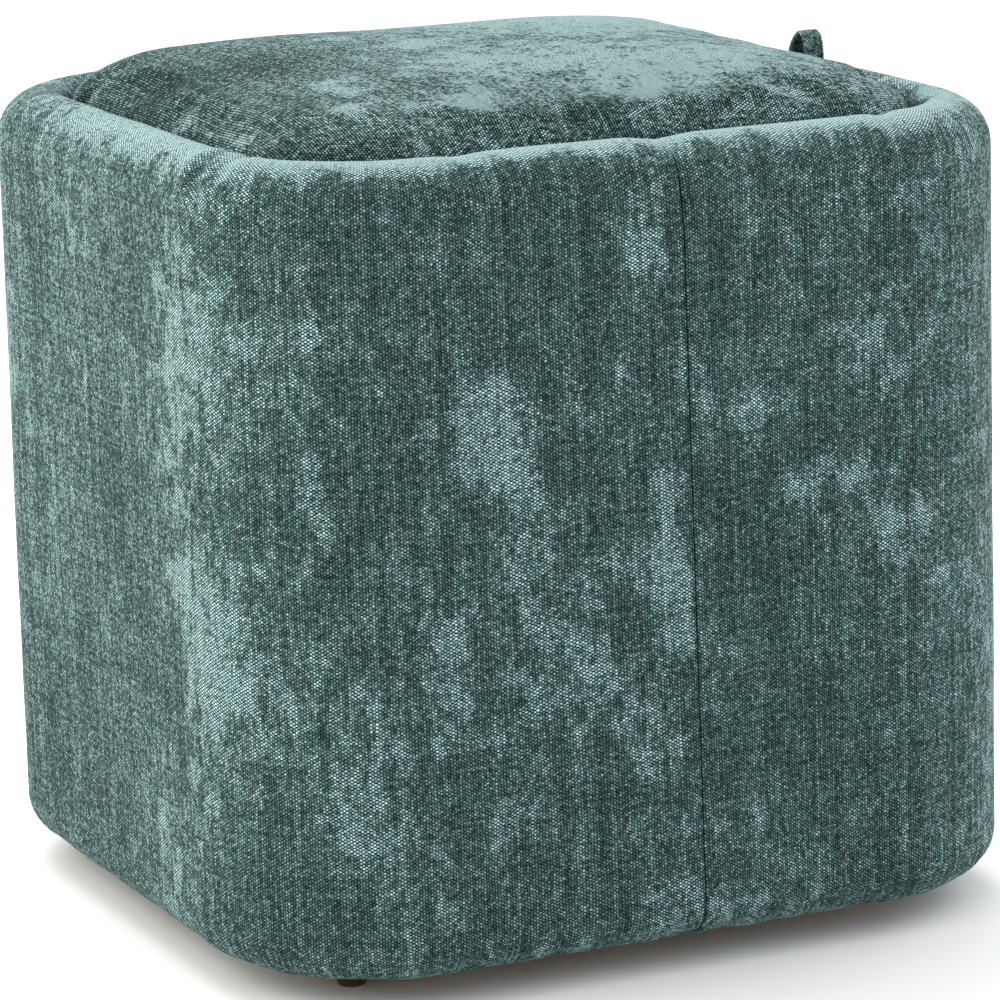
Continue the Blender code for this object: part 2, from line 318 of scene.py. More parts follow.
def draw_plain_weave(sketch: NodeSketch, given: dict, out: dict) -> None:
    """Thick weft over fine warp, one up and one down: a chequer of raised ovals.

    Args:
        sketch: the group's tree.
        given: the group's inputs: a place and pitches in metres, and Jolt as a share of the pitch.
        out: the group's outputs, from 0 to 1.
    """
    place = given["Cloth Place"]
    wander = sketch.clouds(place, (110.0, 70.0, 1.0), 2.0)
    yarn_by_yarn = sketch.stretched(place, (520.0, 620.0, 1.0))
    jolts = sketch.add("TexNoise", {"Vector": yarn_by_yarn, "Scale": 1.0, "Detail": 1.0})
    jolts = sketch.add("SeparateColor", {0: jolts.outputs["Color"]})
    parts = sketch.add("SeparateXYZ", {0: place})
    lines = []
    for number, axis, pitch, sway in ((0, "X", "Warp Pitch", 0.9), (1, "Y", "Weft Pitch", 1.3)):
        line = sketch.math("DIVIDE", parts.outputs[axis], given[pitch])
        jolted = sketch.product(sketch.math("SUBTRACT", jolts.outputs[number], 0.5), given["Jolt"])
        lines.append(sketch.math("ADD", line, sketch.math("MULTIPLY_ADD", wander, sway, jolted)))
    waves = [sketch.math("COSINE", sketch.product(line, math.pi)) for line in lines]
    sketch.feed(sketch.math("MULTIPLY_ADD", sketch.product(*waves), 0.5, 0.5), out["Rise"])
    sketch.feed(sketch.product(waves[0], waves[0]), out["Column"])
    cells = [sketch.math("ROUND", line) for line in lines]
    for name, seed in (("Yarn", cells), ("Warp", cells[:1]), ("Weft", cells[1:])):
        joined = sketch.add("CombineXYZ", dict(enumerate(seed)))
        random = sketch.add("TexWhiteNoise", {"Vector": joined.outputs[0]}, noise_dimensions="3D")
        sketch.feed(random.outputs["Value"], out[name])


def draw_brushed_pile(sketch: NodeSketch, given: dict, out: dict) -> None:
    """The pile's light and dark: patches with crisp ragged edges, upright streaks and short flecks.

    Args:
        sketch: the group's tree.
        given: the group's inputs, of which Brushed, the brushed pile with the painted light and shade, makes
            the patches grow or shrink.
        out: the group's outputs, from 0 to 1.
    """
    shift = sketch.add("CombineXYZ", {"Z": given["Seed"]}).outputs[0]
    place = sketch.add("VectorMath", {0: given["Cloth Place"], 1: shift}, operation="ADD").outputs[0]
    broad = sketch.clouds(place, (17.0, 9.0, 1.0), 3.0, 0.5)
    ragged = sketch.clouds(place, (96.0, 48.0, 1.0), 8.0, 0.76)
    streaks = sketch.clouds(place, (330.0, 16.0, 1.0), 3.0, 0.6)
    fine_streaks = sketch.clouds(place, (640.0, 60.0, 1.0), 2.0, 0.5)
    level = sketch.weighted(ragged, (broad, 0.35))
    level = sketch.math("MULTIPLY_ADD", given["Brushed"], 0.21, level)
    sketch.feed(broad, out["Broad"])
    sketch.feed(ragged, out["Ragged"])
    sketch.feed(sketch.shaped(level, 0.51, 0.66), out["Patches"])
    sketch.feed(sketch.toward(streaks, fine_streaks, 0.4), out["Streaks"])
    sketch.feed(sketch.clouds(place, (420.0, 330.0, 1.0), 2.0, 0.6), out["Flecks"])


def draw_wood_grain(sketch: NodeSketch, given: dict, out: dict) -> None:
    """Long veneer grain with fine pores.

    Args:
        sketch: the group's tree.
        given: the group's input, a place in metres with the grain along Z.
        out: the group's outputs, from 0 to 1.
    """
    sketch.feed(sketch.clouds(given["Place"], (34.0, 34.0, 3.0), 4.0, 0.6), out["Bands"])
    sketch.feed(sketch.clouds(given["Place"], (900.0, 900.0, 45.0), 2.0, 0.5), out["Pores"])


PLAIN_WEAVE = Effect(
    "plain_weave",
    ("Cloth Place", "Warp Pitch", "Weft Pitch", "Jolt"),
    ("Rise", "Column", "Yarn", "Warp", "Weft"),
    draw_plain_weave,
)
BRUSHED_PILE = Effect(
    "pile_and_painted_light",
    ("Cloth Place", "Seed", "Brushed"),
    ("Broad", "Ragged", "Patches", "Streaks", "Flecks"),
    draw_brushed_pile,
)
WOOD_GRAIN = Effect("wood_grain", ("Place",), ("Bands", "Pores"), draw_wood_grain)


# ---------------------------------------------------------------- finishes


@dataclass(frozen=True)
class Chenille:
    """Teal chenille: a plain weave of soft, thick weft, with pile that is brushed light and dark.

    Args:
        name: the material's name.
        seed: which stretch of cloth the piece was cut from.
        tone: how light the cloth is on the whole.
        patches, brush: how much lighter the brushed patches are, and how much the marks of brushed pile and
            of painted light and shade count.
        broad, ragged, streaks, flecks, yarns: how much each part of the pattern counts.
        stop_reach: how far up the stops the tone and the pattern reach.
        gap, crown: how bright the gaps between the yarns and the tops of the yarns are, partly the weave's
            own darker ground and partly painted shade in the gaps and painted highlight on the crowns.
        between: how bright the cloth is between two warps, as a share of the crown, so partly painted shade
            between them.
        flattened, pressed: how far well brushed pile and strong painted sheen hide the weave, and how bright
            the cloth is there.
        patch_flat: how far the brushed patches hide the weave.
        lying, lying_shade: how far pile that is seen edge on hides the weave, and how bright it is there.
        relief, patch_relief: how much of the weave shows off the brushed patches and on them.
        middle_rise: the weave's height on the whole, which is left where no weave shows.
        jolt: how far the yarns stray from their lines, as a share of their pitch.
        pile_stretch: how much finer the pile's pattern is across and along than on the wall.
        glow, deepen: painted sheen: how much lighter and how much livelier the pile's colour is made where
            it is seen edge on.
        shine, sheen, sheen_roughness, sheen_tint: how the fibres shine, and the pile's own sheen.
        warp_pitch, weft_pitch: how far apart the yarns lie.
        weave_depth: how deep the weave's fine relief is.
        stops: the colours from the darkest pile to the lightest.
    """

    name: str
    seed: float
    tone: float = 0.55
    patches: float = 0.23
    brush: float = 0.09
    broad: float = 0.25
    ragged: float = 0.80
    streaks: float = 0.55
    flecks: float = 1.00
    yarns: float = 0.44
    stop_reach: float = 0.8
    gap: float = -0.14
    crown: float = 2.85
    between: float = 0.20
    flattened: float = 0.22
    pressed: float = 1.10
    patch_flat: float = 0.14
    lying: float = 0.60
    lying_shade: float = 0.62
    relief: float = 0.60
    patch_relief: float = 1.2
    middle_rise: float = 0.54
    jolt: float = 0.85
    pile_stretch: tuple[float, float] = (1.0, 1.0)
    painted_sheen: float = 0.40
    painted_sheen_contrast: float = 1.2
    shine: float = 0.10
    sheen: float = 0.05
    sheen_roughness: float = 0.30
    sheen_tint: Colour = (0.66, 0.95, 0.92)
    warp_pitch: float = 0.00137
    weft_pitch: float = 0.00082
    weave_depth: float = 0.00065
    stops: tuple[tuple[float, Colour], ...] = (
        (0.0, (0.011, 0.031, 0.029)),
        (0.24, (0.035, 0.074, 0.070)),
        (0.44, (0.080, 0.147, 0.142)),
        (0.62, (0.168, 0.284, 0.284)),
        (0.80, (0.268, 0.402, 0.402)),
        (1.0, (0.305, 0.440, 0.437)),
    )

    def pile_colour(self, sketch: NodeSketch, masks: dict[str, Socket]) -> Socket:
        """The pile's colour before the weave shades it, with painted sheen where the pile is seen edge on.

        Args:
            sketch: the material's tree.
            masks: what the effects put out, the marks of brushed pile and of painted light and shade, and
                how far the pile is seen edge on.

        Returns:
            The colour.
        """
        pattern = sketch.weighted(
            sketch.product(masks["Brushed"], self.brush),
            (masks["Patches"], self.patches),
            (masks["Broad"], self.broad),
            (masks["Ragged"], self.ragged),
            (masks["Streaks"], self.streaks),
            (masks["Flecks"], self.flecks),
            (masks["Yarn"], self.yarns),
            (masks["Warp"], self.yarns * 0.4),
            (masks["Weft"], self.yarns * 0.3),
        )
        # Painted sheen: where the pile is seen edge on, its pattern is made livelier and its colour lighter.
        pattern = sketch.product(pattern, sketch.math("MULTIPLY_ADD", masks["Edge On"], self.painted_sheen_contrast, 1.0))
        tone = sketch.math("MULTIPLY_ADD", masks["Edge On"], self.painted_sheen, self.tone)
        return sketch.ramp(sketch.product(sketch.math("ADD", tone, pattern), self.stop_reach), self.stops)

    def weave_shade(self, sketch: NodeSketch, masks: dict[str, Socket]) -> Socket:
        """How bright the weave is: dark gaps and bright crowns, partly the weave's own colour and partly
        painted shade and painted highlight, and neither where the pile hides them.

        Args:
            sketch: the material's tree.
            masks: the same as for the pile's colour.

        Returns:
            The brightness, by which the colour is multiplied.
        """
        column = sketch.toward(self.between, 1.0, masks["Column"])
        relief = sketch.toward(self.relief, self.patch_relief, masks["Patches"])
        raised = sketch.toward(self.middle_rise, sketch.shaped(masks["Rise"], 0.15, 0.70), relief)
        # Painted shade in the gaps between the yarns and painted highlight on their crowns, over the weave's
        # own darker ground.
        shade = sketch.toward(self.gap, self.crown, sketch.product(raised, column))
        shade = sketch.toward(shade, self.lying_shade, sketch.product(masks["Edge On"], self.lying))
        flat = sketch.product(sketch.shaped(masks["Brushed"], 0.2, 2.4), self.flattened)
        flat = sketch.math("MULTIPLY_ADD", masks["Patches"], self.patch_flat, flat, clamp=True)
        return sketch.toward(shade, self.pressed, flat)

    def material(self) -> bpy.types.Material:
        """Builds the material.

        Returns:
            The material.
        """
        sketch = MaterialSketch(self.name)
        place = sketch.add("UVMap", uv_map=CLOTH_MAP).outputs["UV"]
        brush = sketch.add("Attribute", attribute_name=PILE_AND_PAINTED_LIGHT_LAYER).outputs["Fac"]
        facing = sketch.add("LayerWeight", {"Blend": 0.5}).outputs["Facing"]
        masks = {"Brushed": brush, "Edge On": sketch.product(facing, facing)}
        masks |= PLAIN_WEAVE.place(
            sketch, cloth_place=place, warp_pitch=self.warp_pitch, weft_pitch=self.weft_pitch, jolt=self.jolt
        )
        pile_place = sketch.stretched(place, (*self.pile_stretch, 1.0))
        masks |= BRUSHED_PILE.place(sketch, cloth_place=pile_place, seed=self.seed, brushed=brush)
        colour, shade = self.pile_colour(sketch, masks), self.weave_shade(sketch, masks)
        grey = sketch.add("CombineColor", {0: shade, 1: shade, 2: shade}).outputs[0]
        roughness = sketch.weighted(0.86, (masks["Ragged"], 0.15))
        sketch.surface(sketch.blend(1.0, colour, grey, "MULTIPLY"), roughness)
        height = sketch.weighted(0.0, (masks["Rise"], 1.0), (masks["Ragged"], 1.6), (masks["Flecks"], 0.8))
        sketch.raised(height, self.weave_depth)
        sketch.shader.inputs["Specular IOR Level"].default_value = self.shine
        sketch.shader.inputs["Sheen Weight"].default_value = self.sheen
        sketch.shader.inputs["Sheen Roughness"].default_value = self.sheen_roughness
        sketch.shader.inputs["Sheen Tint"].default_value = (*self.sheen_tint, 1.0)
        return sketch.material


@dataclass(frozen=True)
class Plywood:
    """Plain plywood: veneer grain on its faces, thin plies on its top edges.

    Args:
        name: the material's name.
        half_x, half_y, radius: the box's outline, from which the plies are counted inwards.
        ply: the thickness of one ply.
        pale, dark: the veneer's colours.
        end_grain: the colour of the darker plies.
    """

    name: str
    half_x: float
    half_y: float
    radius: float
    ply: float = 0.0017
    pale: Colour = (0.50, 0.36, 0.22)
    dark: Colour = (0.33, 0.215, 0.12)
    end_grain: Colour = (0.20, 0.12, 0.065)

    def inset(self, sketch: NodeSketch, parts: bpy.types.Node) -> Socket:
        """How far a point stands in from the box's outline.

        Args:
            sketch: the material's tree.
            parts: the node that holds the point's coordinates.

        Returns:
            The distance in metres.
        """
        past = []
        for axis, half in (("X", self.half_x), ("Y", self.half_y)):
            side = sketch.math("ABSOLUTE", parts.outputs[axis])
            past.append(sketch.math("SUBTRACT", side, half - self.radius))
        beyond = [sketch.math("MAXIMUM", value, 0.0) for value in past]
        squares = [sketch.product(value, value) for value in beyond]
        reach = sketch.math("SQRT", sketch.math("ADD", *squares))
        inner = sketch.math("MINIMUM", sketch.math("MAXIMUM", *past), 0.0)
        return sketch.math("SUBTRACT", self.radius, sketch.math("ADD", reach, inner))

    def material(self) -> bpy.types.Material:
        """Builds the material.

        Returns:
            The material.
        """
        sketch = MaterialSketch(self.name)
        place = sketch.add("TexCoord").outputs["Object"]
        parts = sketch.add("SeparateXYZ", {0: place})
        grain = WOOD_GRAIN.place(sketch, place=place)
        face_grain = sketch.weighted(0.5, (grain["Bands"], 1.5), (grain["Pores"], 0.35))
        face = sketch.ramp(face_grain, ((0.0, self.dark), (1.0, self.pale)))
        plies = sketch.math("SINE", sketch.product(self.inset(sketch, parts), math.pi / self.ply))
        plies = sketch.weighted(plies, (grain["Pores"], 0.8))
        edge = sketch.ramp(plies, ((0.0, self.end_grain), (0.45, self.pale)))
        normal = sketch.add("NewGeometry").outputs["True Normal"]
        upward = sketch.shaped(sketch.add("SeparateXYZ", {0: normal}).outputs["Z"], 0.6, 0.9)
        on_edge = sketch.product(upward, sketch.shaped(parts.outputs["Z"], 0.2, 0.3))
        sketch.surface(sketch.blend(on_edge, face, edge), sketch.weighted(0.62, (grain["Bands"], 0.2)))
        sketch.raised(grain["Pores"], 0.0002, 0.5)
        return sketch.material


@dataclass(frozen=True)
class GlidePlastic:
    """Dark brown moulded plastic with a fine satin grain, scuffed on its sole.

    Args:
        name: the material's name.
        base, scuff: its colour, and its colour where it is scuffed.
        scuff_height: how far up from the floor it is scuffed.
    """

    name: str
    base: Colour = (0.050, 0.021, 0.015)
    scuff: Colour = (0.085, 0.050, 0.040)
    scuff_height: float = 0.0022

    def material(self) -> bpy.types.Material:
        """Builds the material.

        Returns:
            The material.
        """
        sketch = MaterialSketch(self.name)
        place = sketch.add("TexCoord").outputs["Object"]
        wear = sketch.clouds(place, (260.0, 260.0, 260.0), 3.0, 0.6)
        low = sketch.add("SeparateXYZ", {0: place}).outputs["Z"]
        near_sole = sketch.math("SUBTRACT", 1.0, sketch.shaped(low, 0.0, self.scuff_height))
        worn = sketch.product(near_sole, sketch.shaped(wear, 0.40, 0.62))
        sketch.surface(sketch.blend(worn, self.base, self.scuff), sketch.weighted(0.42, (wear, 0.25)))
        sketch.raised(sketch.clouds(place, (2600.0, 2600.0, 2600.0), 1.0, 0.5), 0.00006, 0.35)
        sketch.shader.inputs["Specular IOR Level"].default_value = 0.4
        return sketch.material


# ---------------------------------------------------------------- mesh tools


@dataclass
class ClothMesh:
    """Vertices, faces and cloth places of a piece while it is made.

    Args:
        name: the piece's name.
        points: one row for each vertex.
        faces: the vertices of each face.
        places: the cloth's own place at each vertex, in metres across and along the warp.
    """

    name: str
    points: np.ndarray
    faces: list[Face]
    places: np.ndarray

    def made(self, brushed: np.ndarray, finish: bpy.types.Material) -> bpy.types.Object:
        """Makes the object.

        Args:
            brushed: how much lighter or darker the pile is made at each vertex, for brushed pile and for
                painted light and shade.
            finish: its material.

        Returns:
            The object, smooth shaded.
        """
        mesh = bpy.data.meshes.new(self.name)
        mesh.from_pydata(self.points.tolist(), [], self.faces)
        corners = np.zeros(len(mesh.loops), np.int32)
        mesh.loops.foreach_get("vertex_index", corners)
        layer = mesh.uv_layers.new(name=CLOTH_MAP)
        layer.uv.foreach_set("vector", self.places[corners].astype(np.float32).ravel())
        marks = mesh.attributes.new(PILE_AND_PAINTED_LIGHT_LAYER, "FLOAT", "POINT")
        marks.data.foreach_set("value", brushed.astype(np.float32))
        mesh.materials.append(finish)
        mesh.shade_smooth()
        mesh.update()
        return in_scene(mesh)


@dataclass(frozen=True)
class ToneMarks:
    """Soft patches on a stretch of cloth, with ragged outlines, where the pile lies another way, and where
    painted sheen and painted shade lie on it.

    Args:
        marks: for each patch its place across and along the cloth, its half width and half height, all in
            millimetres, its strength, less than 0 for darker, and its lean in radians if it has one.
        seed: a different raggedness for each value.
        raggedness, wave: how far the outlines stray, and over what length.
    """

    marks: tuple[tuple[float, ...], ...]
    seed: float
    raggedness: float = 0.005
    wave: float = 0.016

    def at(self, places: np.ndarray) -> np.ndarray:
        """How much lighter or darker the pile is made at each place of the cloth, for brushed pile and for
        painted sheen and shade.

        Args:
            places: in metres, one row each.

        Returns:
            One value for each place, more than 0 for lighter, mostly from -1 to 1 and up to 4 for the
            painted sheen and shade on the rim.
        """
        flat = np.column_stack((places, np.zeros(len(places))))
        moved_x = places[:, 0] + self.raggedness * drift(flat, self.wave, self.seed + 3.1)
        moved_y = places[:, 1] + self.raggedness * 1.6 * drift(flat, self.wave, self.seed + 8.7)
        total = np.zeros(len(places))
        for mark in self.marks:
            across, along, half_width, half_height = (0.001 * size for size in mark[:4])
            strength, lean = (*mark[4:], 0.0)[:2]
            x, y = moved_x - across, moved_y - along
            turned_x = (x * math.cos(lean) + y * math.sin(lean)) / half_width
            turned_y = (y * math.cos(lean) - x * math.sin(lean)) / half_height
            total += strength * np.exp(-np.power(turned_x**2 + turned_y**2, 0.85))
        return total


def stepped(start: float, end: float, spacing: Callable[[float], float]) -> np.ndarray:
    """Places from start to end, with the spacing that each place asks for.

    Args:
        start: the first place.
        end: the last place.
        spacing: the wanted distance to the next place.

    Returns:
        The places, both ends included.
    """
    places = [start]
    while places[-1] < end:
        places.append(places[-1] + spacing(places[-1]))
    line = np.array(places)
    return start + (line - start) * (end - start) / (line[-1] - start)


def tube_faces(rings: int, count: int, flipped: bool) -> list[Face]:
    """The faces of a closed tube, its two ends included.

    Args:
        rings: how many rings of vertices follow each other along it.
        count: how many vertices a ring has.
        flipped: whether the faces are turned over.

    Returns:
        The vertices of each face.
    """
    faces: list[Face] = []
    for i in range(rings - 1):
        for j in range(count):
            k = (j + 1) % count
            faces.append((i * count + j, (i + 1) * count + j, (i + 1) * count + k, i * count + k))
    faces.append(tuple(range(count)))
    faces.append(tuple((rings - 1) * count + j for j in reversed(range(count))))
    return [face[::-1] for face in faces] if flipped else faces


# ---------------------------------------------------------------- the padded wall


@dataclass(frozen=True)
class RimFold:
    """A crease or dip that the cloth makes over the rim.

    Args:
        top, bottom: its place along the outline at the crest and at its lower end, minus to the left.
        reach: how far below the crest its lower end is.
        half_width: how wide it is.
        depth: how deep it is.
        lip: how much the cloth swells on both sides, as a share of the depth.
    """

    top: float
    bottom: float
    reach: float
    half_width: float
    depth: float
    lip: float = 0.0

    def at(self, along: np.ndarray, drop: np.ndarray) -> np.ndarray:
        """How deep the fold is at each place.

        Args:
            along: distance from the front seam, minus to the left.
            drop: how far below the crest.

        Returns:
            The depth at each place.
        """
        share = drop / self.reach
        middle = self.top + (self.bottom - self.top) * np.clip(share, -0.6, 1.3)
        across = (along - middle) / self.half_width
        fade = smooth_step(1.5 - share)
        valley = bell(across, 1.0)
        swell = self.lip * bell(np.abs(across) - 2.1, 1.0)
        return self.depth * fade * (valley - swell)


@dataclass
class PaddedWall:
    """The padded wall's sizes, shared by its two halves.

    Args:
        width, depth: the size over its faces.
        foot_height, rim_height: how high its underside and its crest are.
        corner_radius: how round its corners are.
        thickness: how thick it is.
        outer_roll, bottom_roll: how round its outer top edge and its bottom edge are.
        ledge_height: down to where its cloth goes inside.
        seam_top, seam_bottom: how far off the middle the front seam's ends are.
        clearance: the gap between the halves, and round the box.
        seam_step, fold_step, plain_step: how close its sections lie at a seam, at a fold and elsewhere.
        folds: the folds of its rim.
    """

    width: float = 0.420
    depth: float = 0.415
    foot_height: float = 0.0125
    rim_height: float = 0.398
    corner_radius: float = 0.0985
    thickness: float = 0.0365
    outer_roll: float = 0.0235
    bottom_roll: float = 0.021
    ledge_height: float = 0.357
    seam_top: float = 0.0042
    seam_bottom: float = 0.0105
    clearance: float = 0.0003
    seam_step: float = 0.00028
    fold_step: float = 0.0014
    plain_step: float = 0.0030
    folds: tuple[RimFold, ...] = (
        RimFold(-0.2570, -0.2450, 0.017, 0.0050, 0.0040, 0.20),
        RimFold(-0.2350, -0.2310, 0.012, 0.0050, 0.0014, 0.20),
        RimFold(-0.0985, -0.1010, 0.012, 0.0090, 0.0012),
        RimFold(0.0000, 0.0000, 0.032, 0.0110, 0.0022),
        RimFold(0.1270, 0.1310, 0.014, 0.0080, 0.0012, 0.25),
    )

    @property
    def corner_x(self) -> float:
        """Where the corner begins along X."""
        return self.width / 2 - self.corner_radius

    @property
    def corner_y(self) -> float:
        """Where the corner begins along Y."""
        return self.depth / 2 - self.corner_radius

    @property
    def half_length(self) -> float:
        """The outline's length from the front seam round one side to the back seam."""
        return 2 * self.corner_x + 2 * self.corner_y + 2 * QUARTER * self.corner_radius

    def outline(self, along: float) -> tuple[tuple[float, float], tuple[float, float]]:
        """A point of the right half's outline.

        Args:
            along: its distance from the front middle.

        Returns:
            The point, and the direction straight out of the wall there.
        """
        bend = self.corner_radius * QUARTER
        ends = np.cumsum((self.corner_x, bend, 2 * self.corner_y, bend))
        if along <= ends[0]:
            return (along, -self.depth / 2), (0.0, -1.0)
        if along <= ends[1]:
            angle = (along - ends[0]) / self.corner_radius
            out = (math.sin(angle), -math.cos(angle))
            middle = (self.corner_x, -self.corner_y)
        elif along <= ends[2]:
            return (self.width / 2, along - ends[1] - self.corner_y), (1.0, 0.0)
        elif along <= ends[3]:
            angle = (along - ends[2]) / self.corner_radius
            out = (math.cos(angle), math.sin(angle))
            middle = (self.corner_x, self.corner_y)
        else:
            return (self.corner_x - (along - ends[3]), self.depth / 2), (0.0, 1.0)
        point = tuple(m + self.corner_radius * o for m, o in zip(middle, out))
        return point, out

    def section(self) -> np.ndarray:
        """The wall's closed section, with four columns.

        Returns:
            Inset from the outer face, height, direction out as (outwards, upwards), one row for
            each point, from the inner foot under the wall, up the outer face and down the inside.
        """
        rows: list[tuple[float, float, float, float]] = []
        low = self.foot_height + self.bottom_roll
        high = self.rim_height - self.outer_roll
        inner = self.thickness - self.outer_roll
        for share in np.linspace(0, 1, 6)[:-1]:
            inset = self.thickness + (self.bottom_roll - self.thickness) * share
            rows.append((inset, self.foot_height, 0.0, -1.0))
        for angle in np.linspace(0, QUARTER, 17):
            out, up = math.sin(angle), -math.cos(angle)
            rows.append((self.bottom_roll * (1 - out), low + self.bottom_roll * up, out, up))
        for height in stepped(low, high, lambda z: 0.0016 if z > high - 0.03 else 0.0042)[1:-1]:
            rows.append((0.0, height, 1.0, 0.0))
        for angle in np.linspace(0, QUARTER, 25):
            out, up = math.cos(angle), math.sin(angle)
            rows.append((self.outer_roll * (1 - out), high + self.outer_roll * up, out, up))
        for angle in np.linspace(0, QUARTER, 17)[1:]:
            out, up = -math.sin(angle), math.cos(angle)
            rows.append((self.outer_roll - inner * out, self.rim_height - inner + inner * up, out, up))
        for height in np.linspace(self.rim_height - inner, self.ledge_height, 13)[1:]:
            rows.append((self.thickness, height, -1.0, 0.0))
        return np.array(rows)

    def stations(self) -> np.ndarray:
        """Places along one half, closer together at the seams and the folds.

        Returns:
            Their distances from the front seam.
        """
        length = self.half_length
        centres = [abs(fold.top) for fold in self.folds if fold.top]

        def spacing(along: float) -> float:
            """The wanted distance to the next place."""
            from_seam = min(along, length - along)
            if from_seam < 0.003:
                return self.seam_step
            near_fold = min(abs(along - centre) for centre in centres) < 0.02
            return self.fold_step if from_seam < 0.02 or near_fold else self.plain_step

        return stepped(self.clearance / 2, length - self.clearance / 2, spacing)


@dataclass
class SideCover:
    """One half of the padded wall, with its cloth over the rim and under the foot.

    Args:
        half: which half it is.
        wall: the wall's sizes.
        cloth: its finish.
        brush: where its pile is brushed, and where painted sheen and painted shade lie on it.
        seam_curl: how far the cloth curls in at a seam.
        seam_gape, gape_drop: how much more at the front seam's widest place, and how far down that is.
        seam_notch: how much more at the front seam's lower end.
        seam_ridge: how high the soft ridge next to a seam is.
        swell: how uneven the padding is.
        tuck: how deep the small tucks over the bottom edge are.
    """

    half: Half
    wall: PaddedWall
    cloth: Chenille
    brush: ToneMarks
    seam_curl: float = 0.0011
    seam_gape: float = 0.0011
    gape_drop: float = 0.021
    seam_notch: float = 0.0016
    seam_ridge: float = 0.00025
    swell: float = 0.0006
    tuck: float = 0.0009

    def seam_inset(self, from_seam: np.ndarray, drop: np.ndarray, front: bool) -> np.ndarray:
        """How far the cloth curls in next to a seam, less the soft ridge beside it.

        Args:
            from_seam: each point's distance from the seam.
            drop: how far it is below the crest.
            front: whether it is the front seam.

        Returns:
            The inset of each point.
        """
        curl = self.seam_curl * (0.3 + 0.7 * smooth_step((drop - 0.010) / 0.012))
        if front:
            curl += self.seam_gape * bell(drop - self.gape_drop, 0.008)
            curl += self.seam_notch * bell(drop - self.wall.rim_height + self.wall.foot_height, 0.010)
        left = np.clip(curl - from_seam, 0.0, curl)
        turned = curl - np.sqrt(np.maximum(curl**2 - left**2, 0.0))
        return turned - self.seam_ridge * bell(from_seam - 0.0042, 0.0026)

    def pressed(self, along: np.ndarray, rows: np.ndarray, places: np.ndarray) -> np.ndarray:
        """How far the surface lies in from the plain wall at each point.

        Args:
            along: distance from the front seam, minus to the left, one for each point.
            rows: the section's row for each point.
            places: the plain wall's points.

        Returns:
            The inset along the section's own direction.
        """
        wall = self.wall
        drop = wall.rim_height - rows[:, 1]
        above_ledge = rows[:, 1] > wall.ledge_height - 0.001
        inside = np.clip((rows[:, 0] - wall.outer_roll) / 0.011, 0.0, None) * above_ledge
        over_rim = bell(inside, 1.0) * (rows[:, 3] > -0.001)
        folds = sum(fold.at(along, drop) for fold in wall.folds) * over_rim
        from_front = np.abs(along)
        seams = self.seam_inset(from_front, drop, True)
        seams += self.seam_inset(wall.half_length - from_front, drop, False)
        hidden = (rows[:, 0] > wall.thickness - 1e-5) & (rows[:, 1] < wall.ledge_height + 1e-5)
        soft = self.swell * (drift(places, 0.085, 2.0) + 0.45 * drift(places, 0.032, 5.0))
        near_foot = bell(rows[:, 1] - wall.foot_height - 0.006, 0.012)
        on_outline = np.column_stack((along, 0.25 * rows[:, 1], np.zeros(len(along))))
        tucks = self.tuck * near_foot * drift(on_outline, 0.017, 9.0)
        flat_foot = rows[:, 3] < -0.999
        total = folds + seams + soft + tucks
        total[flat_foot] = np.maximum(total[flat_foot], 0.0) * 0.5
        total[hidden] = 0.0
        return total

    def cloth_mesh(self) -> ClothMesh:
        """The cover's cloth, pressed in at its folds and seams.

        Returns:
            The mesh, with its places on the cloth.
        """
        wall = self.wall
        section, stations = wall.section(), wall.stations()
        across, count = len(stations), len(section)
        side = self.half.value
        outline = [wall.outline(min(max(s, 0.0), wall.half_length)) for s in stations]
        base = np.array([point for point, _ in outline])
        out = np.array([direction for _, direction in outline])
        rows = np.tile(section, (across, 1))
        along = np.repeat(stations, count)
        out_x, out_y = np.repeat(out[:, 0], count), np.repeat(out[:, 1], count)
        x = np.repeat(base[:, 0], count) - rows[:, 0] * out_x
        y = np.repeat(base[:, 1], count) - rows[:, 0] * out_y
        points = np.column_stack((side * x, y, rows[:, 1]))
        inset = self.pressed(side * along, rows, points)
        points[:, 0] -= inset * rows[:, 2] * side * out_x
        points[:, 1] -= inset * rows[:, 2] * out_y
        points[:, 2] -= inset * rows[:, 3]
        self.lean(points)
        run = np.concatenate(([0.0], np.cumsum(np.hypot(*np.diff(section[:, :2], axis=0).T))))
        crest = run[np.argmax(section[:, 1])]
        places = np.column_stack((side * along, np.tile(run - crest, across)))
        faces = tube_faces(across, count, side < 0)
        name = f"wall_cover_{self.half.name.lower()}"
        return ClothMesh(name, points, faces, places)

    def lean(self, points: np.ndarray) -> None:
        """Shifts the front sideways, so that its seam leans and its corners stay.

        Args:
            points: the cover's points.
        """
        wall = self.wall
        share = (points[:, 2] - wall.foot_height) / (wall.rim_height - wall.foot_height)
        shift = wall.seam_bottom + (wall.seam_top - wall.seam_bottom) * share
        fade = smooth_step(1.0 - np.abs(points[:, 0]) / wall.corner_x)
        points[:, 0] += np.where(points[:, 1] < 0, shift * fade, 0.0)

    def build(self) -> bpy.types.Object:
        """Builds, dresses and places the cover.

        Returns:
            The object.
        """
        cloth = self.cloth_mesh()
        from_front = np.abs(cloth.places[:, 0])
        from_seam = np.minimum(from_front, self.wall.half_length - from_front)
        below = smooth_step((-0.012 - cloth.places[:, 1]) / 0.012)
        # Painted shade: the cloth that runs down inside the rim is made darker.
        inside = smooth_step((cloth.places[:, 1] - 0.009) / 0.008)
        brushed = self.brush.at(cloth.places) - 3.5 * inside
        # Painted shade in the groove of each seam, below the crest.
        brushed -= 3.0 * below * bell(from_seam, 0.0008)
        piece = cloth.made(brushed, self.cloth.material())
        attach(piece, Body.TUB.value)
        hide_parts(f"side_cover_{self.half.name.lower()}")
        return piece


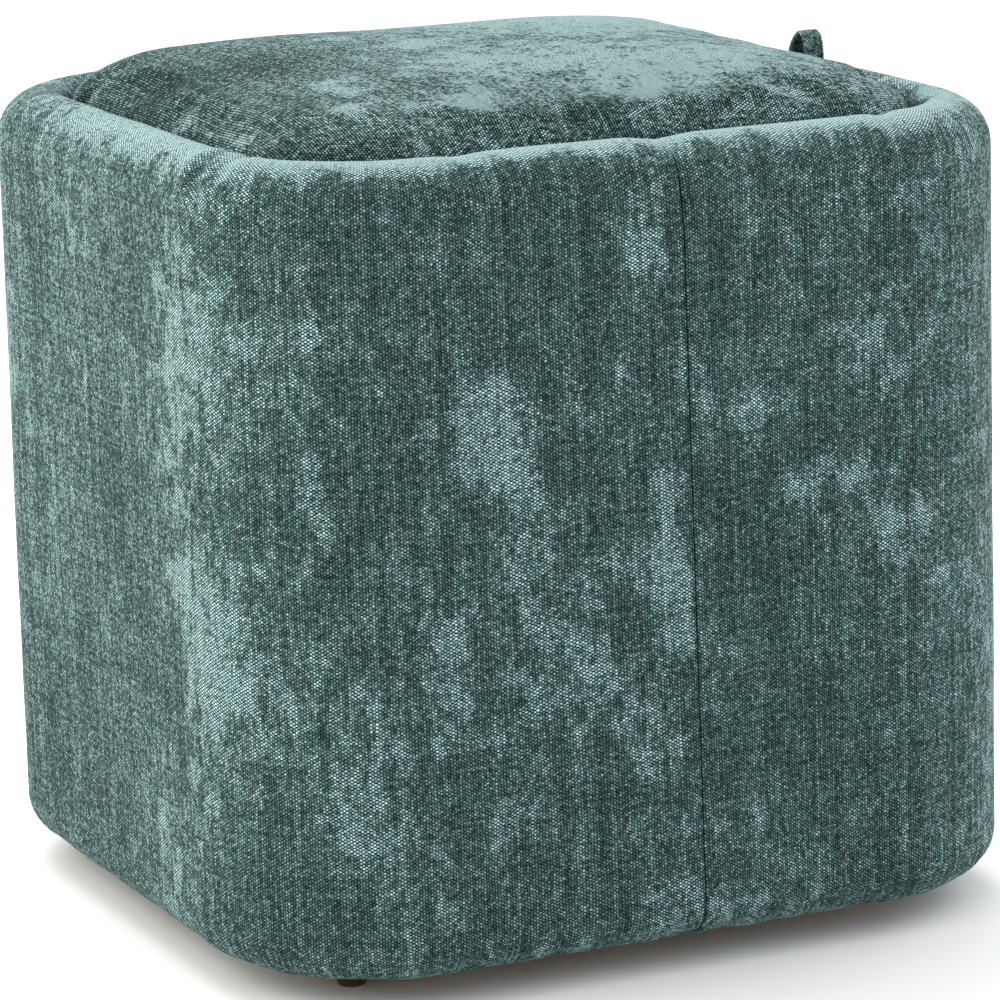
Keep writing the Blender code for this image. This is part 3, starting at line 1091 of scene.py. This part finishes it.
# ---------------------------------------------------------------- the lid


@dataclass
class LidForm:
    """The lid's plain form while it is made, with an entry of each list for each vertex.

    Args:
        points: the vertices.
        places: their places on the cloth.
        from_edge: how far along the cloth they are from the edge.
        held: whether the board holds them.
        faces: the vertices of each face.
    """

    points: list[tuple[float, ...]] = field(default_factory=list)
    places: list[tuple[float, ...]] = field(default_factory=list)
    from_edge: list[float] = field(default_factory=list)
    held: list[bool] = field(default_factory=list)
    faces: list[Face] = field(default_factory=list)

    def add(self, point: tuple[float, ...], place: tuple[float, ...], from_edge: float, held: bool) -> int:
        """Adds a vertex.

        Args:
            point: where it is.
            place: its place on the cloth.
            from_edge: how far along the cloth it is from the edge.
            held: whether the board holds it.

        Returns:
            Its number.
        """
        self.points.append(point)
        self.places.append(place)
        self.from_edge.append(from_edge)
        self.held.append(held)
        return len(self.points) - 1


@dataclass
class LidCushion:
    """The boarded lid: foam and cloth over a board, crowned, with a boxed side.

    Args:
        cloth: its finish.
        brush: where its pile is brushed.
        half_x, half_y, corner: half its size and how round its corners are, at the edge.
        edge_height, crown: how high its edge is, and how far its middle stands above that.
        reach, shoulder: how flat the crown's middle is, and how steep its edge.
        cells, crowding: the top's grid, and how much closer it is near the edge.
        front_tuck: how far the front edge is drawn down.
        far_lift: how far the far left stands up.
        gather, gather_wave: how high and how long the small gathers along the edge are.
        side: how far down each ring of the side is, and how far in.
        board_drop: from how far down the board holds the side.
        under_share, under_offset: how much the underside narrows, and where its cloth starts.
        sim_frames, sim_cap: how long the cloth settles, and how far a point may move.
        cloth_settings: what the cloth that settles is like.
    """

    cloth: Chenille
    brush: ToneMarks
    half_x: float = 0.1720
    half_y: float = 0.1695
    corner: float = 0.061
    edge_height: float = 0.3874
    crown: float = 0.036
    reach: float = 2.30
    shoulder: float = 2.32
    cells: int = 72
    crowding: float = 1.6
    front_tuck: float = 0.0030
    far_lift: float = 0.0014
    gather: float = 0.0005
    gather_wave: float = 0.0085
    side: tuple[tuple[float, float], ...] = (
        (0.0014, 0.0000), (0.0035, 0.0002), (0.0065, 0.0006), (0.0100, 0.0011), (0.0140, 0.0017),
        (0.0180, 0.0024), (0.0220, 0.0032), (0.0255, 0.0040), (0.0285, 0.0052), (0.0301, 0.0075),
    )
    board_drop: float = 0.021
    under_share: float = 0.967
    under_offset: float = 0.5
    sim_frames: int = 20
    sim_cap: float = 0.006
    cloth_settings: tuple[tuple[str, float], ...] = (
        ("quality", 6),
        ("mass", 0.35),
        ("tension_stiffness", 30),
        ("compression_stiffness", 30),
        ("shear_stiffness", 12),
        ("bending_stiffness", 0.25),
        ("use_pressure", True),
        ("uniform_pressure_force", 4.0),
        ("shrink_min", -0.02),
    )

    def outline(self, u: float, v: float) -> tuple[float, float]:
        """A point on the edge of the square from -1 to 1, moved to the lid's outline.

        Args:
            u, v: the point on the square's edge.

        Returns:
            The point on the lid's outline.
        """
        wide = abs(u) >= abs(v)
        far, near = (self.half_x, self.half_y) if wide else (self.half_y, self.half_x)
        along = abs(v) if wide else abs(u)
        run = near - self.corner
        share = run / (run + self.corner * QUARTER / 2)
        if along <= share:
            side, end = far, along / share * run
        else:
            angle = (along - share) / (1 - share) * QUARTER / 2
            side, end = far - self.corner * (1 - math.cos(angle)), run + self.corner * math.sin(angle)
        x, y = (side, end) if wide else (end, side)
        return math.copysign(x, u), math.copysign(y, v)

    def rise(self, spread: np.ndarray | float) -> np.ndarray | float:
        """The crown's height at a share of the way from the middle to the edge, from 1 down to 0."""
        return np.maximum(0.0, 1.0 - spread**self.reach) ** (1 / self.shoulder)

    def stretch(self) -> tuple[np.ndarray, np.ndarray]:
        """How the cloth runs over the crown, in shares of half_x.

        Returns:
            Places on the way to the edge, and how long the cloth is up to each.
        """
        spread = 1 - np.linspace(1, 0, 200) ** 2
        steps = np.hypot(np.diff(spread) * self.half_x, np.diff(self.crown * self.rise(spread)))
        return spread, np.concatenate(([0.0], np.cumsum(steps))) / self.half_x

    def outwards(self, points: np.ndarray) -> np.ndarray:
        """Each point's way out from the middles of the corners, or from the line between two of them."""
        limits = np.array((self.half_x - self.corner, self.half_y - self.corner))
        return points[:, :2] - np.clip(points[:, :2], -limits, limits)

    def drawn_in(self, points: np.ndarray, step: float) -> np.ndarray:
        """Points of the outline, moved in by step towards the middle of the lid.

        Args:
            points: the points.
            step: how far they move.

        Returns:
            The moved points.
        """
        out = self.outwards(points)
        moved = points.copy()
        moved[:, :2] -= out / np.maximum(np.linalg.norm(out, axis=1, keepdims=True), 1e-9) * step
        return moved

    def grid(self) -> list[Face]:
        """The faces of the square grid, row by row.

        Returns:
            The vertices of each face.
        """
        n = self.cells
        corners = (j * (n + 1) + i for j in range(n) for i in range(n))
        return [(a, a + 1, a + n + 2, a + n + 1) for a in corners]

    def rim(self) -> list[int]:
        """The grid's outermost vertices, once round.

        Returns:
            Their numbers.
        """
        n = self.cells
        front = list(range(n + 1))
        right = [(j + 1) * (n + 1) - 1 for j in range(1, n + 1)]
        back = [n * (n + 1) + i for i in range(n - 1, -1, -1)]
        left = [j * (n + 1) for j in range(n - 1, 0, -1)]
        return front + right + back + left

    def add_top(self, form: LidForm) -> None:
        """Adds the crowned top.

        Args:
            form: the lid's form, still empty.
        """
        axis = np.linspace(-1, 1, self.cells + 1)
        stretch = self.stretch()
        for v in axis:
            for u in axis:
                ring = max(abs(u), abs(v))
                x, y = self.outline(u / ring, v / ring) if ring > 0 else (0.0, 0.0)
                spread = 1 - (1 - ring) ** self.crowding
                height = self.edge_height + self.crown * self.rise(spread)
                far_left = smooth_step(-x * spread / 0.07) * smooth_step((y * spread + 0.02) / 0.08)
                height += self.far_lift * far_left
                at_edge = math.exp(-(((1 - spread) / 0.07) ** 1.2))
                height -= self.front_tuck * at_edge * smooth_step((-y - 0.10) / 0.06)
                run = float(np.interp(spread, *stretch))
                from_edge = (stretch[1][-1] - run) * self.half_x
                form.add((x * spread, y * spread, height), (x * run, y * run), from_edge, False)
        form.faces += self.grid()

    def add_side(self, form: LidForm) -> dict[int, int]:
        """Adds the side's rings below the edge.

        Args:
            form: the lid's form, with its top.

        Returns:
            The vertex of the lowest ring under each vertex of the edge.
        """
        rim = self.rim()
        edge = np.array([form.points[i] for i in rim])
        sewn = np.array([form.places[i] for i in rim])
        out = edge[:, :2] / np.maximum(np.linalg.norm(edge[:, :2], axis=1, keepdims=True), 1e-9)
        above = rim
        for drop, draw in self.side:
            ring = self.drawn_in(edge, draw)
            level = smooth_step(drop / 0.02)
            ring[:, 2] = edge[:, 2] * (1 - level) + self.edge_height * level - drop
            held = drop > self.board_drop
            below = [form.add(tuple(p), tuple(q), drop, held) for p, q in zip(ring, sewn + out * drop)]
            for i in range(len(rim)):
                k = (i + 1) % len(rim)
                form.faces.append((above[i], below[i], below[k], above[k]))
            above = below
        return dict(zip(rim, above))

    def add_underside(self, form: LidForm, lowest: dict[int, int]) -> None:
        """Closes the form with a flat underside on the same grid.

        Args:
            form: the lid's form, with its top and its side.
            lowest: the vertex of the lowest ring under each vertex of the edge.
        """
        floor = self.edge_height - self.side[-1][0]
        under = dict(lowest)
        for k in range((self.cells + 1) ** 2):
            if k not in under:
                x, y, _ = form.points[k]
                point = (x * self.under_share, y * self.under_share, floor)
                under[k] = form.add(point, (x, y + self.under_offset), 1.0, True)
        form.faces += [tuple(under[k] for k in reversed(face)) for face in self.grid()]

    def plain(self) -> LidForm:
        """The lid's plain form: its top, its side and its underside.

        Returns:
            The form.
        """
        form = LidForm()
        self.add_top(form)
        self.add_underside(form, self.add_side(form))
        return form

    def gathered(self, points: np.ndarray) -> np.ndarray:
        """Small gathers that run in from the edge, from about -1 to 1 at each point.

        Args:
            points: the lid's points.

        Returns:
            How high each point stands on its gather.
        """
        out = self.outwards(points)
        reach = np.linalg.norm(out, axis=1, keepdims=True)
        on_edge = points[:, :2] - out + out / np.maximum(reach, 1e-6) * self.corner
        ripple = drift(np.column_stack((on_edge, np.zeros(len(points)))), self.gather_wave, 3.3)
        return ripple * smooth_step((reach[:, 0] / self.corner - 0.35) / 0.5)

    def inflated(self, points: np.ndarray, faces: list[Face], held: np.ndarray) -> np.ndarray:
        """Lets the cloth settle over the padding with Blender's cloth, and reads where it goes.

        Args:
            points: the plain form.
            faces: its faces.
            held: the points that the board holds.

        Returns:
            How far each point moves, no more than the cap.
        """
        above_edge = points[:, 2] > self.edge_height
        start = points.copy()
        start[:, 2] = self.edge_height + (points[:, 2] - self.edge_height) * np.where(above_edge, 0.93, 1.0)
        mesh = bpy.data.meshes.new("lid_blank")
        mesh.from_pydata(start.tolist(), [], faces)
        blank = in_scene(mesh)
        pins = blank.vertex_groups.new(name="held_by_board")
        pins.add(np.nonzero(held)[0].tolist(), 1.0, "REPLACE")
        cloth = blank.modifiers.new("cloth", "CLOTH")
        for name, value in self.cloth_settings:
            setattr(cloth.settings, name, value)
        cloth.settings.vertex_group_mass = pins.name
        cloth.settings.effector_weights.gravity = 0.0
        cloth.point_cache.frame_start = 1
        cloth.point_cache.frame_end = self.sim_frames
        scene = bpy.context.scene
        for number in range(1, self.sim_frames + 1):
            scene.frame_set(number)
        settled = blank.evaluated_get(bpy.context.evaluated_depsgraph_get()).to_mesh()
        flat = np.zeros(len(points) * 3, np.float32)
        settled.vertices.foreach_get("co", flat)
        scene.frame_set(1)
        bpy.data.objects.remove(blank, do_unlink=True)
        moved = flat.reshape(-1, 3).astype(float) - start
        length = np.linalg.norm(moved, axis=1, keepdims=True)
        return moved * np.minimum(1.0, self.sim_cap / np.maximum(length, 1e-9))

    @staticmethod
    def evened(values: np.ndarray, faces: list[Face], rounds: int) -> np.ndarray:
        """Values averaged with their neighbours' a number of times.

        Args:
            values: one row for each vertex.
            faces: the vertices of each face.
            rounds: how often.

        Returns:
            The evened values.
        """
        pairs = np.array([(f[i], f[(i + 1) % 4]) for f in faces if len(f) == 4 for i in range(4)])
        count = sum(np.bincount(pairs[:, end], minlength=len(values)) for end in (0, 1))
        for _ in range(rounds):
            total = np.zeros_like(values)
            np.add.at(total, pairs[:, 0], values[pairs[:, 1]])
            np.add.at(total, pairs[:, 1], values[pairs[:, 0]])
            values = 0.5 * values + 0.5 * total / np.maximum(count, 1)[:, None]
        return values

    def build(self) -> bpy.types.Object:
        """Builds, dresses and places the lid.

        Returns:
            The object.
        """
        form = self.plain()
        points, held = np.array(form.points), np.array(form.held)
        moved = self.inflated(points, form.faces, held)
        creases = moved - self.evened(moved, form.faces, 60)
        LOG.info("lid: cloth moved %.1f mm at most", 1000 * np.abs(moved).max())
        LOG.info("lid: creases %.2f mm at most", 1000 * np.abs(creases).max())
        points = points + creases * (~held)[:, None]
        gathers = self.gathered(points)
        points[:, 2] += self.gather * gathers * ~held
        places = np.array(form.places)
        # Painted highlight on the gathers' ridges and painted shade in their hollows, stronger on the left
        # half.
        brushed = self.brush.at(places) + 1.1 * gathers * (0.6 - 0.4 * np.sign(points[:, 0]))
        # Painted sheen: a thin light line along the lid's edge near its front right corner.
        near_corner = smooth_step((points[:, 0] - 0.13) / 0.03) * smooth_step((-0.07 - points[:, 1]) / 0.04)
        brushed += 3.2 * bell(np.array(form.from_edge), 0.0017) * near_corner
        piece = ClothMesh("lid_pad", points, form.faces, places).made(brushed, self.cloth.material())
        finer = piece.modifiers.new("finer", "SUBSURF")
        finer.levels = finer.render_levels = 1
        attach(piece, Body.LID.value)
        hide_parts("lid_cushion")
        return piece


# ---------------------------------------------------------------- the pull loop


@dataclass
class PullLoop:
    """The folded strap of cloth that lifts the lid, flat against its side at both ends.

    Args:
        cloth: its finish.
        width, thickness: the strap's section.
        steps, rim_points: how fine its curve and its folded edges are.
        stitch, stitch_depth: where the stitching runs, as a share of half the width, and how deep it lies.
        painted_light_and_shade: painted light and shade on one edge, the outer face, the other edge and the
            inner face: painted sheen on the folded edges and painted shade on the darker face.
        line: the strap's middle line as rows of y, z and x, and the strap's turn in degrees.
    """

    cloth: Chenille
    width: float = 0.011
    thickness: float = 0.002
    steps: int = 7
    rim_points: int = 6
    stitch: float = 0.62
    stitch_depth: float = 0.00016
    painted_light_and_shade: tuple[float, float, float, float] = (2.2, -1.8, 1.4, 0.2)
    line: tuple[tuple[float, float, float, float], ...] = (
        (-0.0245, 0.3700, 0.1668, 0), (-0.0246, 0.3800, 0.1673, 0), (-0.0248, 0.3895, 0.1694, 25),
        (-0.0251, 0.3980, 0.1727, 70), (-0.0252, 0.4065, 0.1723, 86), (-0.0236, 0.4130, 0.1720, 90),
        (-0.0190, 0.4155, 0.1720, 90), (-0.0135, 0.4122, 0.1720, 92), (-0.0082, 0.4062, 0.1722, 98),
        (-0.0050, 0.3980, 0.1727, 112), (-0.0044, 0.3895, 0.1694, 155), (-0.0042, 0.3800, 0.1673, 180),
        (-0.0041, 0.3700, 0.1668, 180),
    )

    def smooth_rows(self) -> list[Vector]:
        """The line's rows read from a smooth curve through them.

        Returns:
            The rows, a few for each one of the line.
        """
        rows = [Vector(row) for row in self.line]
        smooth = []
        for i in range(len(rows) - 1):
            before, after = rows[max(i - 1, 0)], rows[min(i + 2, len(rows) - 1)]
            for step in range(self.steps):
                t = step / self.steps
                ends = rows[i] * (1 + 2 * t) * (1 - t) ** 2 + rows[i + 1] * t * t * (3 - 2 * t)
                slopes = (rows[i + 1] - before) * t * (1 - t) ** 2 - (after - rows[i]) * t * t * (1 - t)
                smooth.append(ends + slopes / 2)
        return smooth + [rows[-1]]

    def section(self) -> list[tuple[float, float]]:
        """The strap's section: flat faces, rounded folds and a line of stitching near each edge.

        Returns:
            Its points, across and through the strap.
        """
        half, thick = self.width / 2, self.thickness / 2
        points = []
        for angle in np.linspace(-QUARTER, QUARTER, self.rim_points + 1):
            points.append((half - thick + thick * math.cos(angle), thick * math.sin(angle)))
        for share in (0.74, 0.62, 0.5, 0.25, 0.0, -0.25, -0.5, -0.62, -0.74):
            dip = self.stitch_depth if abs(share) == self.stitch else 0.0
            points.append((half * share, thick - dip))
        return points + [(-x, -y) for x, y in points]

    def build(self) -> bpy.types.Object:
        """Builds, dresses and places the loop.

        Returns:
            The object.
        """
        rows = self.smooth_rows()
        centres = [Vector((x, y, height)) for y, height, x, _ in rows]
        section = self.section()
        points, places, run = [], [], 0.0
        for i, row in enumerate(rows):
            ahead, behind = centres[min(i + 1, len(rows) - 1)], centres[max(i - 1, 0)]
            along = (ahead - behind).normalized()
            across = along.cross(Vector((1, 0, 0))).normalized()
            out = across.cross(along)
            turn = math.radians(row[3])
            width = math.cos(turn) * across + math.sin(turn) * out
            through = along.cross(width)
            run += (centres[i] - centres[i - 1]).length if i else 0.0
            for x, y in section:
                points.append(centres[i] + width * x + through * y)
                places.append((x + (0.05 if y > 0 else 0.0), run))
        count = len(section)
        faces = tube_faces(len(rows), count, True)
        cloth = ClothMesh("lifting_loop", np.array([tuple(p) for p in points]), faces, np.array(places))
        round_edge, flat = self.rim_points + 1, count // 2 - self.rim_points - 1
        # Painted sheen on the folded edges and painted shade on the darker face, for each point of the
        # section.
        brushed = np.tile(np.repeat(self.painted_light_and_shade, (round_edge, flat, round_edge, flat)), len(rows))
        piece = cloth.made(brushed, self.cloth.material())
        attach(piece, Body.LID.value)
        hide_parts("pull_loop")
        return piece


# ---------------------------------------------------------------- the box and the glides


@dataclass
class StorageBox:
    """The plain box inside the wall. Its own node stays, with a better finish."""

    finish: Plywood

    def build(self) -> bpy.types.Object:
        """Dresses the box.

        Returns:
            The object.
        """
        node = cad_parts["storage_box"]
        node.data.materials.clear()
        node.data.materials.append(self.finish.material())
        return node


@dataclass
class Glide:
    """A low round foot, turned, with a nail's hollow in the middle of its sole.

    Args:
        corner: which corner it stands under.
        x, y: its middle.
        finish: its material.
        height: how high it is.
        turns: how many flats make up its round.
        profile: its turned outline from the top down, as radius and share of the height.
    """

    corner: str
    x: float
    y: float
    finish: bpy.types.Material
    height: float = 0.0122
    turns: int = 48
    profile: tuple[tuple[float, float], ...] = (
        (0.0, 1.0), (0.0091, 1.0), (0.0095, 0.965), (0.00945, 0.90), (0.0092, 0.84), (0.0086, 0.70),
        (0.0079, 0.52), (0.0075, 0.36), (0.0072, 0.22), (0.0070, 0.13), (0.0067, 0.07), (0.0062, 0.025),
        (0.0056, 0.0), (0.0026, 0.0), (0.0023, 0.03), (0.0022, 0.12), (0.0, 0.14),
    )

    def build(self) -> bpy.types.Object:
        """Builds, dresses and places the glide.

        Returns:
            The object.
        """
        points = [(self.x, self.y, self.height)]
        for radius, share in self.profile[1:-1]:
            for step in range(self.turns):
                angle = 2 * math.pi * step / self.turns
                x, y = self.x + radius * math.cos(angle), self.y + radius * math.sin(angle)
                points.append((x, y, share * self.height))
        points.append((self.x, self.y, self.profile[-1][1] * self.height))
        rings, last = len(self.profile) - 2, len(points) - 1
        faces = []
        for step in range(self.turns):
            after = (step + 1) % self.turns
            faces.append((0, 1 + step, 1 + after))
            for ring in range(rings - 1):
                upper, lower = 1 + ring * self.turns, 1 + (ring + 1) * self.turns
                faces.append((upper + step, lower + step, lower + after, upper + after))
            lower = 1 + (rings - 1) * self.turns
            faces.append((last, lower + after, lower + step))
        mesh = bpy.data.meshes.new(f"glide_{self.corner}")
        mesh.from_pydata(points, [], faces)
        mesh.materials.append(self.finish)
        mesh.shade_smooth()
        mesh.set_sharp_from_angle(angle=math.radians(50))
        piece = in_scene(mesh)
        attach(piece, Body.TUB.value)
        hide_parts(f"foot_{self.corner}")
        return piece


# ---------------------------------------------------------------- the studio


@dataclass(frozen=True)
class Lamp:
    """One soft square light.

    Args:
        name: its name.
        place: where it hangs.
        power: its power in watts.
        colour: its colour.
        size: how long its sides are.
    """

    name: str
    place: tuple[float, float, float]
    power: float
    colour: Colour
    size: float = 2.4

    def build(self, aim: Vector) -> None:
        """Hangs the light so that it faces the aim.

        Args:
            aim: the point that it faces.
        """
        data = bpy.data.lights.new(self.name, "AREA")
        data.shape = "SQUARE"
        data.size = self.size
        data.energy = self.power
        data.color = self.colour
        lamp = in_scene(data)
        lamp.location = self.place
        lamp.rotation_euler = (aim - Vector(self.place)).to_track_quat("-Z", "Y").to_euler()


@dataclass
class Studio:
    """A pale floor, soft light and the camera at the photograph's angle.

    Args:
        azimuth, elevation, roll: the camera's angles in degrees.
        distance, target: how far it is from the point that it turns about, and that point.
        lens, shift: its focal length in millimetres, and its small shift.
        lamps, aim: the lights, and the point that they face.
        floor_half, floor_colour: half the floor's size, and its colour.
        sky, sky_strength: the light from all round.
    """

    azimuth: float = -24.638852
    elevation: float = 12.169756
    roll: float = -1.515064
    distance: float = 2.596033
    target: tuple[float, float, float] = (0.0, 0.0, 0.2057)
    lens: float = 186.0938
    shift: tuple[float, float] = (0.00705, -0.03015)
    lamps: tuple[Lamp, ...] = (
        Lamp("window_left", (-2.5, 0.7, 1.7), 57.0, (1.0, 0.945, 0.865)),
        Lamp("bounce_right", (2.5, 0.4, 1.3), 34.0, (0.98, 0.99, 1.0)),
        Lamp("overhead", (0.1, 1.6, 2.3), 70.0, (1.0, 1.0, 1.0)),
    )
    aim: tuple[float, float, float] = (0.0, 0.0, 0.22)
    floor_half: float = 40.0
    floor_colour: Colour = (0.92, 0.92, 0.92)
    sky: Colour = (1.0, 1.0, 1.0)
    sky_strength: float = 1.0

    def build_camera(self) -> None:
        """Sets the camera up."""
        a, e, r = (math.radians(x) for x in (self.azimuth, self.elevation, self.roll))
        back = Vector((math.sin(a) * math.cos(e), -math.cos(a) * math.cos(e), math.sin(e)))
        right = Vector((math.cos(a), math.sin(a), 0.0))
        up = back.cross(right)
        turned_right = math.cos(r) * right + math.sin(r) * up
        turned_up = math.cos(r) * up - math.sin(r) * right
        data = bpy.data.cameras.new("view")
        data.lens = self.lens
        data.sensor_width = 36.0
        data.shift_x, data.shift_y = self.shift
        camera = in_scene(data)
        place = Matrix((turned_right, turned_up, back)).transposed().to_4x4()
        place.translation = Vector(self.target) + back * self.distance
        camera.matrix_world = place
        bpy.context.scene.camera = camera

    def build_floor(self) -> None:
        """Lays the pale floor."""
        mesh = bpy.data.meshes.new("studio_floor")
        half = self.floor_half
        corners = [(-half, -half, 0), (half, -half, 0), (half, half, 0), (-half, half, 0)]
        mesh.from_pydata(corners, [], [(0, 1, 2, 3)])
        sketch = MaterialSketch("studio_paper")
        place = sketch.add("TexCoord").outputs["Object"]
        mottle = sketch.clouds(place, (6.0, 6.0, 6.0), 2.0, 0.5)
        low = tuple(channel * 0.985 for channel in self.floor_colour)
        sketch.surface(sketch.blend(mottle, low, self.floor_colour), 0.9)
        sketch.shader.inputs["Specular IOR Level"].default_value = 0.1
        mesh.materials.append(sketch.material)
        in_scene(mesh)

    def build(self) -> None:
        """Builds the whole studio."""
        world = bpy.data.worlds.new("soft_sky")
        world.use_nodes = True
        background = world.node_tree.nodes["Background"]
        background.inputs["Color"].default_value = (*self.sky, 1.0)
        background.inputs["Strength"].default_value = self.sky_strength
        bpy.context.scene.world = world
        bpy.context.scene.view_settings.view_transform = "Standard"
        self.build_floor()
        for lamp in self.lamps:
            lamp.build(Vector(self.aim))
        self.build_camera()


# ---------------------------------------------------------------- the whole stool


# Brushed patches of the wall's pile, with painted sheen and painted shade on and inside its rim.
WALL_PILE_AND_PAINTED_LIGHT = ToneMarks(
    (
        # The front face, left of the seam: the two large light patches and what hangs below them.
        (-97, -124, 16, 11, 1), (-86, -154, 10, 21, 1.4), (-104, -149, 10, 13, 0.9),
        (-81, -208, 7, 25, 0.9), (-120, -233, 12, 15, 1), (-120, -269, 8, 21, 0.8),
        (-86, -262, 14, 17, 0.6), (-52, -236, 6, 19, 0.7), (-49, -272, 19, 19, 0.6),
        (-90, -333, 14, 26, 0.2),
        # Next to the seam.
        (-20, -58, 7, 17, 0.8), (1, -121, 7, 21, 0.6), (-14, -169, 9, 24, 0.9), (-38, -209, 19, 9, 0.7),
        (-12, -216, 11, 23, 1.3), (-4, -249, 12, 12, 0.8), (-20, -291, 13, 27, 0.6),
        (-14, -375, 16, 15, 0.5),
        # The front face, right of the seam.
        (33, -147, 21, 12, 0.6), (62, -181, 9, 10, 0.9), (97, -179, 18, 7, 0.8),
        (111, -209, 13, 16, 1.2), (132, -207, 9, 11, 0.8), (74, -259, 9, 10, 0.5),
        (94, -111, 34, 29, 0.5), (92, -39, 27, 28, 0.3),
        # Where the front's pile lies dark.
        (-151, -55, 27, 32, -0.4), (-47, -64, 14, 44, -0.7), (19, -75, 9, 35, -0.7),
        (-52, -162, 16, 21, -0.4), (23, -204, 19, 48, -0.5), (16, -315, 9, 22, -0.9),
        (94, -300, 47, 54, -0.3), (136, -179, 20, 29, -0.5), (-163, -199, 14, 17, -0.4),
        (-55, -303, 11, 12, -0.6), (-52, -359, 32, 19, -0.4), (90, -156, 34, 10, -0.4),
        # The crest of the rim, with painted sheen along it.
        (-110, -2, 150, 8, 3.7), (120, -2, 120, 8.5, 3.1), (-340, -5, 100, 15, 1.5),
        # Painted shade in the crease of the deep fold at the left front corner, and painted shadow in the
        # gap between the lid and the rim at the right front corner.
        (-252, -10, 3.4, 10, -1.6, 0.35), (214.6, 17.5, 15, 8, -4),
        # The near corner and the left side.
        (-177, -91, 14, 16, 0.8), (-180, -175, 9, 28, 0.9), (-168, -321, 19, 34, 0.6),
        (-240, -247, 29, 34, 1.1), (-204, -358, 49, 29, -0.6), (-250, -98, 33, 47, 0.7),
        (-265, -212, 23, 15, 0.6), (-289, -312, 40, 23, 0.2), (-430, -330, 90, 70, -0.9),
        (-274, -352, 36, 23, 0.4), (-324, -73, 24, 19, -0.7), (-342, -117, 12, 22, -0.5),
        (-362, -194, 31, 33, -0.9), (-334, -243, 35, 23, -0.5), (-318, -279, 32, 20, -0.5),
        (-473, -356, 46, 33, -0.4), (-446, -84, 29, 25, -0.3),
    ),
    seed=1.0,
)
LID_BRUSH = ToneMarks(
    (
        # Lighter: the far right half as a whole, streaks near the front left edge and patches between.
        (85, 80, 90, 70, 1.15), (60, -80, 110, 70, 0.75), (-168, -94, 6, 23, 1.1),
        (-169, -21, 6, 27, 0.6), (-111, -67, 11, 19, 0.9), (-126, -119, 12, 16, 0.5),
        (-37, 2, 10, 15, 0.8), (-41, -54, 20, 23, 0.4), (-2, -77, 18, 14, 0.5), (60, 17, 22, 27, 0.3),
        (-62, -130, 18, 9, 0.8), (18, -145, 13, 9, 0.3), (87, -153, 26, 9, 0.2),
        # Darker: the far left, and small patches along the front.
        (-150, 20, 45, 95, -0.6), (-155, 45, 17, 52, -1.5), (-109, 11, 22, 41, -1.2),
        (-134, -74, 10, 26, -0.9), (-161, -131, 7, 10, -0.9), (-78, -99, 18, 15, -0.5),
        (-14, -152, 20, 9, -0.7), (-101, -161, 26, 6, -0.3), (87, -130, 23, 12, -0.3),
    ),
    seed=4.0,
)
LID_CLOTH = Chenille(
    "chenille_lid", seed=7.0, tone=0.59, brush=0.13, ragged=0.70, streaks=0.20, flecks=1.9, yarns=0.42,
    gap=-0.12, crown=2.6, between=0.06, lying=0.2, relief=0.45, jolt=0.6, pile_stretch=(0.8, 1.5),
    painted_sheen=0.42, painted_sheen_contrast=1.5, shine=0.04,
)
LOOP_CLOTH = Chenille(
    "chenille_loop", seed=11.0, tone=0.54, flecks=1.5, yarns=0.7, crown=1.7, between=0.6, relief=0.25,
    warp_pitch=0.00102, weft_pitch=0.00066,
)
WALL_CLOTHS = {
    Half.LEFT: Chenille("chenille_wall_left", seed=0.0),
    Half.RIGHT: Chenille("chenille_wall_right", seed=3.0),
}
GLIDE_PLACES = {
    "front_left": (-0.147, -0.1445),
    "front_right": (0.147, -0.1445),
    "back_left": (-0.147, 0.1445),
    "back_right": (0.147, 0.1445),
}


def main() -> None:
    """Builds every piece of the stool and the studio round it."""
    logging.basicConfig(level=logging.INFO, format="%(message)s")
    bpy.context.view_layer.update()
    wall = PaddedWall()
    pieces = [SideCover(half, wall, WALL_CLOTHS[half], WALL_PILE_AND_PAINTED_LIGHT).build() for half in Half]
    pieces.append(LidCushion(LID_CLOTH, LID_BRUSH).build())
    pieces.append(PullLoop(LOOP_CLOTH).build())
    inset = wall.thickness + wall.clearance
    plywood = Plywood("plywood", wall.width / 2 - inset, wall.depth / 2 - inset, wall.corner_radius - inset)
    pieces.append(StorageBox(plywood).build())
    plastic = GlidePlastic("glide_plastic").material()
    pieces += [Glide(corner, x, y, plastic).build() for corner, (x, y) in GLIDE_PLACES.items()]
    for piece in pieces:
        LOG.info("%s: %d faces", piece.name, len(piece.data.polygons))
    Studio().build()


if __name__ == "__main__":
    main()
